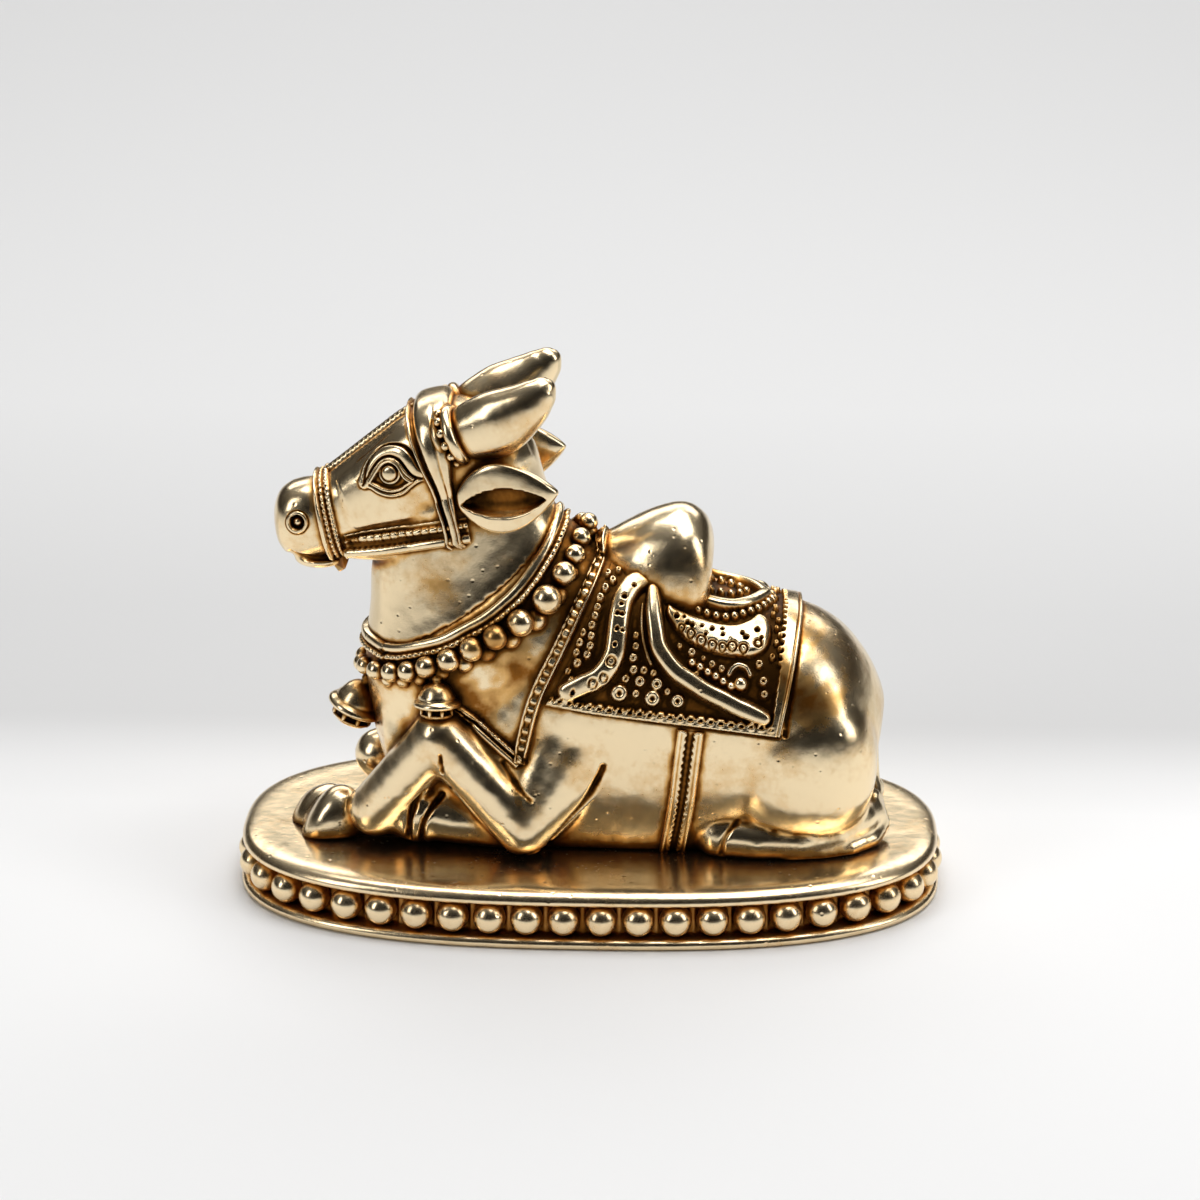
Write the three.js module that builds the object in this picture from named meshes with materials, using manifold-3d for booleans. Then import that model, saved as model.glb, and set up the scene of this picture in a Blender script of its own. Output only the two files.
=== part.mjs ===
// A cast brass bull of the Nandi type, lying with its forelegs bent and both knees raised, on an oval plinth with a
// row of beads round its edge. The bull is one casting with its harness, cloth, necklace and bells, and the plinth
// is another. Millimetres, +Z up, the muzzle towards -X, the origin under the middle of the plinth.
import * as THREE from "three";
import { mergeVertices } from "three/addons/utils/BufferGeometryUtils.js";
import Module from "manifold-3d";

const wasm = await Module();
wasm.setup();

// The bull. Its forms are set out in modules, FIGURE_MODULES to its length, as a sculptor scales a maquette.
const FIGURE_LENGTH = 129;
const FIGURE_MODULES = 129;
const unit = FIGURE_LENGTH / FIGURE_MODULES;
const NECKLACE_BEADS = 28;
const FOOT_OF_FORMS = 1.8; // the height in the forms' own measure at which the bull stands

// The plinth.
const PLINTH_MARGIN = 7.7; // from the muzzle and the rump out to the beads' centres
const PLINTH_WIDTH = 75.6; // between the centres of the beads at its sides
const PLINTH_HEIGHT = 12.5;
const PLINTH_SQUARENESS = 2.6; // 2 is an ellipse, more is fuller at the corners
const LIP_HEIGHT = 2.3; // the lip under the beads
const LIP_REACH = 2.7; // from the beads' centres out to the lip's edge
const RIM_HEIGHT = 2.8; // the rounded rim over the beads
const RIM_REACH = 2.3; // from the beads' centres out to the rim's edge
const WALL_INSET = 1.3; // from the beads' centres in to the wall behind them
const BEAD_RADIUS = 3.15;
const BEAD_PITCH = 7.7;
const SOLDER_GAP = 0.3; // between the bull's underside and the plinth

// Facets of the solids.
const AROUND_TRUNK = 16;
const AROUND_LIMB = 7;
const AROUND_PLINTH = 44;

const seat = PLINTH_HEIGHT + SOLDER_GAP;
const NEAR = -1;
const FAR = 1;

// A point of the bull from its place in modules: forward of the middle, out to one side, and up from the plinth.
const spot = (x, y, z) =>
  new THREE.Vector3(x * unit, y * unit, seat + (z - FOOT_OF_FORMS) * unit);

const joined = (solids) => solids.reduce((all, one) => all.add(one));
const onBothSides = (make) => [NEAR, FAR].flatMap((side) => make(side));

// A closed three.js geometry as a solid, its faces turned outwards whichever way round it was wound.
function solidOf(geometry) {
  const bare = geometry.index ? geometry.toNonIndexed() : geometry.clone();
  bare.deleteAttribute("normal");
  bare.deleteAttribute("uv");
  const merged = mergeVertices(bare, 1e-4);
  const points = merged.attributes.position.array;
  const corners = merged.index.array;
  const at = (i) => new THREE.Vector3().fromArray(points, 3 * corners[i]);
  let volume = 0;
  for (let i = 0; i < corners.length; i += 3) volume += at(i).dot(at(i + 1).cross(at(i + 2)));
  if (volume < 0) corners.reverse();
  return new wasm.Manifold(
    new wasm.Mesh({
      numProp: 3,
      vertProperties: new Float32Array(points),
      triVerts: new Uint32Array(corners),
    }),
  );
}

// The skin over a row of closed rings of points, with a pole at each end.
function skinned(rings, startPole, endPole) {
  const count = rings[0].length;
  const points = [startPole, ...rings.flat(), endPole];
  const last = points.length - 1;
  const faces = [];
  for (let i = 0; i < count; i++) {
    const j = (i + 1) % count;
    faces.push([0, 1 + j, 1 + i]);
    for (let r = 0; r < rings.length - 1; r++) {
      const a = 1 + r * count;
      const b = a + count;
      faces.push([a + i, a + j, b + j], [a + i, b + j, b + i]);
    }
    faces.push([last, last - count + i, last - count + j]);
  }
  const geometry = new THREE.BufferGeometry();
  geometry.setAttribute("position", new THREE.Float32BufferAttribute(points.flatMap((p) => p.toArray()), 3));
  geometry.setIndex(faces.flat());
  return solidOf(geometry);
}

// The value of a row of numbers at a fractional place, along a Catmull-Rom curve.
function along(row, t) {
  const i = Math.min(Math.floor(t), row.length - 2);
  const f = t - i;
  const at = (k) => row[Math.max(0, Math.min(row.length - 1, k))];
  const [a, b, c, d] = [at(i - 1), at(i), at(i + 1), at(i + 2)];
  return 0.5 * (2 * b + (c - a) * f + (2 * a - 5 * b + 4 * c - d) * f * f + (3 * b - a - 3 * c + d) * f * f * f);
}

// A form is a row of stations. Each is an oval ring between a high and a low point on the bull's middle plane:
// [high x, high z, low x, low z, half width, widest place (share of the way up), squareness, sag of the sides].
function stationAt(form, t) {
  const [highX, highZ, lowX, lowZ, half, widest, square, sag] = form[0].map((_, k) => along(form.map((s) => s[k]), t));
  return { highX, highZ, lowX, lowZ, half, widest, square, sag };
}

// The point of a form's ring t at an angle from its high point, with the ring grown outwards by so many modules.
function onForm(form, t, angle, grow = 0) {
  const s = stationAt(form, t);
  const span = Math.hypot(s.highX - s.lowX, s.highZ - s.lowZ) || 1;
  const [ux, uz] = [(s.highX - s.lowX) / span, (s.highZ - s.lowZ) / span];
  const [c, v] = [Math.cos(angle), Math.sin(angle)];
  const reach = (c > 0 ? (1 - s.widest) * span : s.widest * span) + grow;
  const up = Math.sign(c) * Math.abs(c) ** (2 / s.square) * reach;
  const out = Math.sign(v) * Math.abs(v) ** (2 / s.square) * (s.half + grow);
  const [midX, midZ] = [s.lowX + ux * span * s.widest, s.lowZ + uz * span * s.widest];
  return spot(midX + ux * up, out, midZ + uz * up - s.sag * v * v);
}

function ringOf(form, t, around, grow = 0) {
  return Array.from({ length: around }, (_, i) => onForm(form, t, (2 * Math.PI * i) / around, grow));
}

const middleOf = (ring) => ring.reduce((sum, p) => sum.add(p), new THREE.Vector3()).divideScalar(ring.length);

// The solid of a form between two of its rings.
function lofted(form, { from = 0, to = form.length - 1, steps = form.length - 1, around = AROUND_TRUNK, grow = 0 } = {}) {
  const rings = [];
  for (let i = 0; i <= steps; i++) rings.push(ringOf(form, from + ((to - from) * i) / steps, around, grow));
  return skinned(rings, middleOf(rings[0]), middleOf(rings.at(-1)));
}

// A raised band round a form, with sloping edges.
function bandRound(form, from, to, proud, around = AROUND_TRUNK) {
  const slope = (to - from) * 0.22;
  const rings = [
    ringOf(form, from, around, -proud),
    ringOf(form, from + slope, around, proud),
    ringOf(form, to - slope, around, proud),
    ringOf(form, to, around, -proud),
  ];
  return skinned(rings, middleOf(rings[0]), middleOf(rings.at(-1)));
}

// A tapered limb with round ends between two points.
function bone(start, startRadius, end, endRadius, around = AROUND_LIMB) {
  const length = start.distanceTo(end);
  const capSteps = 2;
  const profile = [];
  for (let i = 0; i <= capSteps; i++) {
    const a = (Math.PI / 2) * (1 - i / capSteps);
    profile.push(new THREE.Vector2(startRadius * unit * Math.cos(a), -startRadius * unit * Math.sin(a)));
  }
  for (let i = 0; i <= capSteps; i++) {
    const a = (Math.PI / 2) * (i / capSteps);
    profile.push(new THREE.Vector2(endRadius * unit * Math.cos(a), length + endRadius * unit * Math.sin(a)));
  }
  profile[0].x = 0;
  profile.at(-1).x = 0;
  const geometry = new THREE.LatheGeometry(profile, around);
  const turn = new THREE.Quaternion().setFromUnitVectors(new THREE.Vector3(0, 1, 0), end.clone().sub(start).normalize());
  geometry.applyQuaternion(turn).translate(start.x, start.y, start.z);
  return solidOf(geometry);
}

// An egg with its own three radii, in modules.
function egg(centre, rx, ry, rz, around = 10, tall = 6) {
  const geometry = new THREE.SphereGeometry(1, around, tall);
  geometry.rotateX(Math.PI / 2).scale(rx * unit, ry * unit, rz * unit).translate(centre.x, centre.y, centre.z);
  return solidOf(geometry);
}

// A round bead of few facets, one of its poles towards a direction, a little over size to fill the round.
function bead(centre, radius, outward) {
  const geometry = new THREE.SphereGeometry(1.08 * radius, 6, 3);
  geometry.applyQuaternion(new THREE.Quaternion().setFromUnitVectors(new THREE.Vector3(0, 1, 0), outward));
  return solidOf(geometry.translate(centre.x, centre.y, centre.z));
}

// A round cord through a row of points.
function cord(points, radius, steps, facets = 5) {
  const round = new THREE.Shape(
    Array.from({ length: facets }, (_, i) => {
      const a = (2 * Math.PI * i) / facets;
      return new THREE.Vector2(radius * unit * Math.cos(a), radius * unit * Math.sin(a));
    }),
  );
  const extrudePath = new THREE.CatmullRomCurve3(points);
  return solidOf(new THREE.ExtrudeGeometry(round, { steps, extrudePath, bevelEnabled: false, curveSegments: 1 }));
}

// A plate right through the bull whose side view has these corners.
function sideCut(corners) {
  const shape = new THREE.Shape(corners.map(([x, z]) => spot(x, 0, z)).map((p) => new THREE.Vector2(p.x, p.z)));
  const reach = 40 * unit;
  const geometry = new THREE.ExtrudeGeometry(shape, { depth: 2 * reach, bevelEnabled: false });
  geometry.rotateX(Math.PI / 2).translate(0, reach, 0);
  return solidOf(geometry);
}

// The trunk, from the chest to the rump.
const TRUNK = [
  [-49.3, 27, -49.3, 16, 3, 0.5, 2, 0],
  [-47, 37, -46.5, 3, 9, 0.45, 2, 0],
  [-41, 42, -41, -6, 13.5, 0.45, 2.1, 0],
  [-30, 48, -30, -9, 17, 0.45, 2.2, 0],
  [-15, 56, -15, -9, 20, 0.45, 2.2, 0],
  [0, 63, 0, -9, 21.8, 0.48, 2.2, 0],
  [12, 61, 12, -9, 22.2, 0.5, 2.2, 0],
  [24, 55.2, 24, -9, 22.5, 0.52, 2.2, 0],
  [36, 52.2, 36, -9, 22.8, 0.52, 2.2, 0],
  [46, 50, 46, -9, 22.6, 0.5, 2.2, 0],
  [53, 46, 53, -8, 20.8, 0.5, 2.2, 0],
  [58.3, 39.9, 58.3, -6, 16, 0.5, 2.2, 0],
  [61.4, 33.6, 61.4, -2, 10, 0.5, 2.1, 0],
  [62.6, 28, 62.6, 8, 4, 0.5, 2, 0],
];

// The neck. Its rings lie along the tilt of the collar: the high point is the throat's side, the low one the nape.
const NECK = [
  [-44, 14, 14, 46, 17, 0.5, 2.2, 0],
  [-48, 26, 8, 58, 18.5, 0.5, 2.2, 3],
  [-48.4, 36, -1.5, 66.5, 17.5, 0.5, 2.2, 4.5],
  [-47.2, 43, -6, 70.5, 15, 0.5, 2.1, 4.5],
  [-46.2, 51, -8, 74.5, 13.5, 0.5, 2.1, 3],
  [-45.6, 60, -9.5, 79, 12.5, 0.5, 2.1, 1],
  [-42.5, 72, -11.5, 86, 11.3, 0.5, 2.1, 0],
  [-36, 82, -16, 90, 7, 0.5, 2, 0],
];

// The head, from the muzzle to the poll.
const HEAD = [
  [-65.9, 71.7, -65.9, 67, 2, 0.5, 2, 0],
  [-64.8, 74.5, -64.9, 63.4, 5.2, 0.5, 2.2, 0],
  [-62.5, 76.4, -62.6, 61, 6.9, 0.5, 2.4, 0],
  [-59.5, 77.3, -59, 60.4, 7.5, 0.5, 2.4, 0],
  [-56.8, 77.7, -54.5, 61.2, 7.4, 0.5, 2.4, 0],
  [-53.5, 80.4, -49.5, 62.4, 7.9, 0.52, 2.4, 0],
  [-49, 84.2, -44, 63, 9, 0.55, 2.5, 0],
  [-43.5, 88.8, -38, 63.6, 10.2, 0.58, 2.6, 0],
  [-38, 93.2, -31, 65, 11.2, 0.6, 2.6, 0],
  [-32.5, 95.6, -24.5, 68, 11.8, 0.6, 2.5, 0],
  [-26, 95.6, -18, 73, 11.3, 0.55, 2.4, 0],
  [-19, 92.5, -13, 78, 9.5, 0.5, 2.2, 0],
  [-13.5, 88.5, -10.5, 82, 5, 0.5, 2, 0],
];

// The hump over the withers, leaning back over the cloth.
const HUMP = [
  [1, 65, 5, 58, 4, 0.5, 2, 0],
  [8, 69, 10, 50, 9.5, 0.45, 2, 0],
  [14, 71.8, 15, 46, 12, 0.45, 2, 0],
  [20, 72.9, 19, 45, 12.6, 0.45, 2, 0],
  [24.4, 70, 22, 46, 11.8, 0.45, 2, 0],
  [26, 65, 24, 48.5, 9.8, 0.45, 2, 0],
  [25.6, 60, 25, 51.5, 6, 0.5, 2, 0],
];

// Where a point of the trunk's side lies, from its place in the side view.
function onFlank(side, x, z, proud = 0) {
  const xs = TRUNK.map((s) => s[0]);
  let [lo, hi] = [0, TRUNK.length - 1];
  for (let i = 0; i < 30; i++) {
    const t = (lo + hi) / 2;
    if (along(xs, t) < x) lo = t;
    else hi = t;
  }
  const s = stationAt(TRUNK, lo);
  const middle = s.lowZ + (s.highZ - s.lowZ) * s.widest;
  const reach = z > middle ? s.highZ - middle : middle - s.lowZ;
  const share = Math.min(1, Math.abs(z - middle) / reach);
  return spot(x, side * (s.half * (1 - share ** s.square) ** (1 / s.square) + proud), z);
}

const flankRow = (side, places, proud) => places.map(([x, z]) => onFlank(side, x, z, proud));

// The head's carving: muzzle strap, brow band, forehead strap, cheek straps, eyes, nostrils and lower lip.
function headCarving() {
  const foreheadRow = [4.6, 5.5, 6.5, 7.5, 8.4].map((t) => onForm(HEAD, t, 0, 0));
  return [
    bandRound(HEAD, 3.95, 4.9, 1.2, 12),
    bandRound(HEAD, 8.6, 9.9, 1.8, 12),
    cord(foreheadRow, 1.9, 4, 6),
    egg(spot(-56.8, 0, 60.6), 5.2, 5, 1.9),
    ...onBothSides((side) => [
      cord([5, 6, 7, 8, 9, 9.7].map((t) => onForm(HEAD, t, side * 2.28, 0)), 1.7, 5),
      egg(spot(-40.3, side * 10.2, 82.6), 5.6, 1.6, 3.6),
      bead(spot(-40.8, side * 11.2, 82.7), 1.6 * unit, new THREE.Vector3(0, side, 0)),
      bead(spot(-60.5, side * 7.2, 70.6), 1.3 * unit, new THREE.Vector3(0, side, 0)),
    ]),
  ];
}

// A horn, thick at its root and swept back to a blunt tip, with two rings at its root.
function horn(side) {
  const rows = [
    [-28, 7, 88.6, 4.4, 4.2],
    [-24, 8.2, 90.4, 6.2, 5.2],
    [-18, 9.8, 93.2, 6.9, 5.4],
    [-13, 10.8, 96.6, 5.4, 4.4],
    [-9.8, 10.9, 99.6, 3.3, 2.8],
    [-8.4, 10.8, 101.3, 1.6, 1.5],
  ];
  const lean = 0.42; // the rings' tilt away from upright, in radians
  const rings = rows.map(([x, y, z, tall, thick]) =>
    Array.from({ length: AROUND_LIMB }, (_, i) => {
      const a = (2 * Math.PI * i) / AROUND_LIMB;
      const up = Math.cos(a) * tall;
      return spot(x - up * Math.sin(lean), side * (y + side * Math.sin(a) * thick), z + up * Math.cos(lean));
    }),
  );
  const rootRing = (x, z, radius) => bone(spot(x - 0.9, side * 7.6, z - 0.2), radius, spot(x + 0.9, side * 8, z + 0.2), radius);
  return [
    skinned(rings, middleOf(rings[0]), spot(-7.7, side * 10.8, 102)),
    rootRing(-28.6, 89, 5.6),
    rootRing(-26.2, 89.6, 5.9),
  ];
}

// An ear, a pointed leaf whose outer face is hollow.
function ear(side) {
  const [rootX, rootY, rootZ] = [-26.3, 11.5, 77.2];
  const [tipX, tipY, tipZ] = [-5.6, 15.6, 80.2];
  const [halfHeight, thick, hollow] = [6.9, 2.3, 2.6];
  const steps = 7;
  const rings = [];
  for (let i = 1; i < steps; i++) {
    const t = i / steps;
    const half = halfHeight * Math.sin(Math.PI * t ** 0.85) ** 0.8;
    const ring = Array.from({ length: 10 }, (_, k) => {
      const a = (2 * Math.PI * k) / 10;
      const up = Math.cos(a) * half;
      const inner = Math.sin(a) < 0 ? thick * Math.sin(a) : 0;
      const dish = Math.sin(a) > 0 ? thick * Math.sin(a) ** 0.5 - hollow * Math.sin(a) ** 3 * Math.sin(Math.PI * t) : 0;
      const x = rootX + (tipX - rootX) * t;
      const y = rootY + (tipY - rootY) * t + 1.2 * Math.sin(Math.PI * t);
      return spot(x, side * (y + inner + dish), rootZ + (tipZ - rootZ) * t + up);
    });
    rings.push(ring);
  }
  return [skinned(rings, spot(rootX, side * rootY, rootZ), spot(tipX, side * tipY, tipZ))];
}

// A foreleg with its knee raised, and a shank with rings lying inside the bend.
function foreleg(side) {
  const shoulder = spot(4, side * 14.5, 24.5);
  const elbow = spot(-12.8, side * 20, 7.4);
  const knee = spot(-30.6, side * 18.4, 27.4);
  const fetlock = spot(-45.4, side * 13, 9);
  return [
    bone(shoulder, 7.4, elbow, 5.7),
    bone(elbow, 5.7, knee, 5.6),
    bone(knee, 5.6, fetlock, 5),
    bone(spot(-38.5, side * 13, 8.2), 6.4, spot(-18, side * 15.5, 6), 5.2),
    bone(spot(-35, side * 13.6, 8), 7, spot(-33.4, side * 13.8, 7.8), 6.9),
  ];
}

// The two forehooves, tucked side by side under the chest, the far one lower and further forward.
function forehooves() {
  return [
    bone(spot(-50, -9.5, 8.2), 6.6, spot(-57, -7.4, 5.4), 4.6),
    bone(spot(-50, 0, 4.5), 6, spot(-59.5, -1, 4), 4),
  ];
}

// A hind leg folded along the ground under the haunch, with a ring over its hoof.
function hindleg(side) {
  return [
    egg(spot(43.5, side * 10.5, 25), 19, 14, 19),
    bone(spot(29, side * 18.6, 6.2), 4.9, spot(45, side * 20.4, 6), 4.4),
    bone(spot(45, side * 20.4, 6), 4.4, spot(57, side * 15.5, 9.4), 4.8),
    bone(spot(29.4, side * 18.8, 6), 5.5, spot(30.6, side * 18.9, 6.2), 5.5),
  ];
}

// The cloth over the back, the shoulder straps that meet in a V, and the girth.
function harness() {
  const clothCorners = [[5.5, 76], [5, 62], [-8.6, 35.4], [40, 30.2], [44.8, 56], [44.8, 76]];
  const strapCorners = [[1, 80], [4.8, 80], [4.6, 62], [-9.4, 35], [-12.4, 22.6], [-15, 22.6], [-4, 50]];
  const veeCorners = [[-27.5, 35.5], [-13, 23.5], [-15.4, 21], [-28.5, 32.5]];
  const girthCorners = [[19.6, 40], [25, 40], [21.2, -1], [15.6, -1]];
  const coat = (proud) => lofted(TRUNK, { grow: proud, steps: 13 }).add(lofted(NECK, { grow: proud, to: 4, steps: 4, around: 12 }));
  return [
    coat(1.5).intersect(sideCut(clothCorners)),
    coat(2.1).intersect(sideCut(strapCorners)),
    coat(1.8).intersect(sideCut(veeCorners)),
    coat(1.3).intersect(sideCut(girthCorners)),
  ];
}

// The raised folds on the cloth: an S-shaped one, a long diagonal one, and the crescent pads under the ridge.
function clothFolds(side) {
  const sFold = [[11, 58.6], [7.7, 55.4], [6.4, 50], [4.6, 43.9], [1.3, 40.8], [-4.5, 38.8]];
  const diagonal = [[14.4, 57], [14.2, 52.6], [16.4, 46], [24.2, 39.7], [36.5, 33.9]];
  const pad = [[18.5, 53.4], [24.5, 49.2], [30, 47.8], [37, 49.6]];
  const roll = [[21.5, 55.2], [27.8, 53.4], [33, 53], [39, 54.2]];
  return [
    cord(flankRow(side, sFold, 1.7), 2.1, 6),
    cord(flankRow(side, diagonal, 1.7), 2, 5),
    cord(flankRow(side, pad, 0.8), 3.2, 4),
    cord(flankRow(side, roll, 1.4), 1.6, 4),
  ];
}

// So many points at even distances along a closed line of many short steps, half a pitch from its start.
function evenlyAlong(line, count) {
  const lengths = [0];
  for (let i = 1; i < line.length; i++) lengths.push(lengths[i - 1] + line[i].distanceTo(line[i - 1]));
  return Array.from({ length: count }, (_, k) => {
    const place = ((k + 0.5) * lengths.at(-1)) / count;
    const i = lengths.findIndex((l) => l > place);
    const share = (place - lengths[i - 1]) / (lengths[i] - lengths[i - 1]);
    return line[i - 1].clone().lerp(line[i], share);
  });
}

// Beads along a closed line, turned towards a second line outside it.
function beadString(line, outerLine, count, radiusOf) {
  const outer = evenlyAlong(outerLine, count);
  return evenlyAlong(line, count).map((p, k) => bead(p, radiusOf((k + 0.5) / count), outer[k].sub(p).normalize()));
}

// The collar, and the string of beads round the foot of the neck, largest over the shoulders.
function necklace() {
  const stringAt = (proud) => Array.from({ length: 181 }, (_, i) => onForm(NECK, 2, Math.PI * (1 + i / 90), proud));
  const radiusOf = (share) => {
    const fromNape = Math.min(share, 1 - share);
    return (2.45 + 0.5 * Math.exp(-(((fromNape - 0.19) / 0.09) ** 2))) * unit;
  };
  return [bandRound(NECK, 2.7, 3.15, 1.1, 12), ...beadString(stringAt(1.4), stringAt(3.4), NECKLACE_BEADS, radiusOf)];
}

// A bell: a dome on a small loop, with a flared and rounded lip, leaning forward from upright by an angle.
function bell(x, y, z, size, lean = 0) {
  const profile = [[0, 0], [3.4, 0], [4.3, 1.2], [3.4, 2.4], [3.2, 4.6], [2, 6.7], [0.9, 8.4], [0, 8.6]];
  const points = profile.map(([r, up]) => new THREE.Vector2(r * size * unit, up * size * unit));
  const geometry = new THREE.LatheGeometry(points, 8).rotateX(Math.PI / 2).rotateY(lean);
  const place = spot(x, y, z);
  geometry.translate(place.x, place.y, place.z);
  return solidOf(geometry);
}

// The tail, down the middle of the rump and forward along the ground on the near side.
function tail() {
  const route = [[61.4, 0, 31], [62, -1.5, 22], [61.6, -5, 13], [61, -11, 6.5], [58.4, -18, 3.6], [51, -23, 2.8], [43, -25.4, 2.6]];
  return cord(route.map(([x, y, z]) => spot(x, y, z)), 1.5, 9);
}

function bull() {
  const everything = joined([
    lofted(TRUNK, { steps: 13 }),
    lofted(NECK, { steps: 7, around: 12 }),
    lofted(HEAD, { steps: 10, around: 12 }),
    ...harness(),
    lofted(HUMP, { steps: 7, around: 12 }),
    ...headCarving(),
    ...onBothSides(horn),
    ...onBothSides(ear),
    ...onBothSides(foreleg),
    ...onBothSides(hindleg),
    ...onBothSides(clothFolds),
    ...necklace(),
    ...forehooves(),
    ...onBothSides((side) => [bell(-31.4, side * 18.4, 31.6, 1.15)]),
    bell(-50.5, 0, 21.8, 1.3, 0.45),
    tail(),
  ]);
  const aboveGround = sideCut([[-80, FOOT_OF_FORMS], [80, FOOT_OF_FORMS], [80, 120], [-80, 120]]);
  return everything.intersect(aboveGround);
}

// The plan of the plinth, an oval drawn in from the line of the beads' centres.
const beadLineLength = FIGURE_LENGTH + 2 * PLINTH_MARGIN;
function ovalAt(angle, inset, z) {
  const power = 2 / PLINTH_SQUARENESS;
  const [c, s] = [Math.cos(angle), Math.sin(angle)];
  const x = Math.sign(c) * Math.abs(c) ** power * (beadLineLength / 2 - inset);
  const y = Math.sign(s) * Math.abs(s) ** power * (PLINTH_WIDTH / 2 - inset);
  return new THREE.Vector3(x, y, z);
}

function plinthBody() {
  const underRim = PLINTH_HEIGHT - RIM_HEIGHT;
  const profile = [
    [0.8 - LIP_REACH, 0],
    [-LIP_REACH, 0.7],
    [-LIP_REACH, LIP_HEIGHT - 0.6],
    [0.9 - LIP_REACH, LIP_HEIGHT],
    [WALL_INSET, LIP_HEIGHT + 0.4],
    [WALL_INSET, underRim - 0.8],
    [0.4 - RIM_REACH, underRim],
    [-RIM_REACH, underRim + 0.6],
    [0.5 - RIM_REACH, PLINTH_HEIGHT - 0.9],
    [2.6 - RIM_REACH, PLINTH_HEIGHT],
  ];
  const rings = profile.map(([inset, z]) =>
    Array.from({ length: AROUND_PLINTH }, (_, i) => ovalAt((2 * Math.PI * i) / AROUND_PLINTH, inset, z)),
  );
  return skinned(rings, new THREE.Vector3(0, 0, 0), new THREE.Vector3(0, 0, PLINTH_HEIGHT));
}

// The beads, evenly spaced along their line, half sunk in the wall of the groove.
function plinthBeads() {
  const height = (LIP_HEIGHT + PLINTH_HEIGHT - RIM_HEIGHT) / 2;
  const lineAt = (inset) => Array.from({ length: 721 }, (_, i) => ovalAt((Math.PI * i) / 360, inset, height));
  const line = lineAt(0);
  const around = line.reduce((sum, p, i) => sum + (i ? p.distanceTo(line[i - 1]) : 0), 0);
  return beadString(line, lineAt(-2), Math.round(around / BEAD_PITCH), () => BEAD_RADIUS);
}

function meshOf(name, solid, color) {
  const { numProp, vertProperties, triVerts } = solid.getMesh();
  const positions = new Float32Array((vertProperties.length / numProp) * 3);
  for (let i = 0; i < positions.length / 3; i++)
    positions.set(vertProperties.subarray(i * numProp, i * numProp + 3), i * 3);
  const geometry = new THREE.BufferGeometry();
  geometry.setAttribute("position", new THREE.BufferAttribute(positions, 3));
  geometry.setIndex(new THREE.BufferAttribute(new Uint32Array(triVerts), 1));
  geometry.computeVertexNormals();
  const brass = new THREE.MeshStandardMaterial({ color, roughness: 0.28, metalness: 1 });
  const mesh = new THREE.Mesh(geometry, brass);
  mesh.name = name;
  return mesh;
}

const figure = new THREE.Group();
figure.add(meshOf("nandi_bull", bull(), 0xc9a968));
figure.add(meshOf("oval_plinth", joined([plinthBody(), ...plinthBeads()]), 0xc4a05c));

export default figure;
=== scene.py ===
import math

import bmesh
import bpy
import numpy as np
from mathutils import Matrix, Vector
from mathutils.bvhtree import BVHTree


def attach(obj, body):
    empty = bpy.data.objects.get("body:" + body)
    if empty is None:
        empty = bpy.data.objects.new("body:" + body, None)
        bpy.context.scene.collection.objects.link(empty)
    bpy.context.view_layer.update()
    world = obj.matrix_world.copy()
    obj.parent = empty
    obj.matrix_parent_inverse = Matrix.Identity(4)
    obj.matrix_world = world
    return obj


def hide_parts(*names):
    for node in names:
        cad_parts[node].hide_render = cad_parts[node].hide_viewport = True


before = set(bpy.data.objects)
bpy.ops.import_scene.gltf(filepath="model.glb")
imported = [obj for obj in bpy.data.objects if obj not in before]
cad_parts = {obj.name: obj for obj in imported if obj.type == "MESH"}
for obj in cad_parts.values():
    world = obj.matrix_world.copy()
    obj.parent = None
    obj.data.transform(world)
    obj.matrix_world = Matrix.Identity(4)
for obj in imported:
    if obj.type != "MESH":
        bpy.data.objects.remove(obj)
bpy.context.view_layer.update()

# The camera looks down on the figure's near side from a little in front of its shoulder.
# It stands where the photograph's did, with a lens long enough that the plinth hardly widens.
MM = 0.001
CAMERA_TURN = math.radians(2.3)
CAMERA_RISE = math.radians(20.2)
# the aim is this far to the right of the plinth's middle, and this high
CAMERA_AIM_RIGHT, CAMERA_AIM_HEIGHT = 2.15, 62.2
CAMERA_DISTANCE = 750
SENSOR_WIDTH, LENS_LENGTH = 36, 106.98
turn_x, turn_y, level = math.cos(CAMERA_TURN), math.sin(CAMERA_TURN), math.cos(CAMERA_RISE)
towards_camera = Vector((turn_y * level, -turn_x * level, math.sin(CAMERA_RISE)))
aim = Vector((turn_x * CAMERA_AIM_RIGHT, turn_y * CAMERA_AIM_RIGHT, CAMERA_AIM_HEIGHT))
lens = bpy.data.cameras.new("camera")
lens.sensor_width = SENSOR_WIDTH
lens.lens = LENS_LENGTH
camera = bpy.data.objects.new("camera", lens)
camera.location = (aim + towards_camera * CAMERA_DISTANCE) * MM
camera.rotation_euler = towards_camera.to_track_quat("Z", "Y").to_euler()
bpy.context.scene.collection.objects.link(camera)
bpy.context.scene.camera = camera
bpy.context.scene.view_settings.view_transform = "Standard"


# The floor is a wide sheet of matt white paper. Its white is even under and in front of the figure. Behind it
# a band of painted shade stands for the grey where a roll of paper would begin to rise, and the painted tone
# is lighter again far back.
def linear(code):
    """An sRGB hex colour as linear red, green, blue and alpha."""
    parts = [int(code[k : k + 2], 16) / 255 for k in (1, 3, 5)]
    return [p / 12.92 if p <= 0.04045 else ((p + 0.055) / 1.055) ** 2.4 for p in parts] + [1.0]


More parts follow.
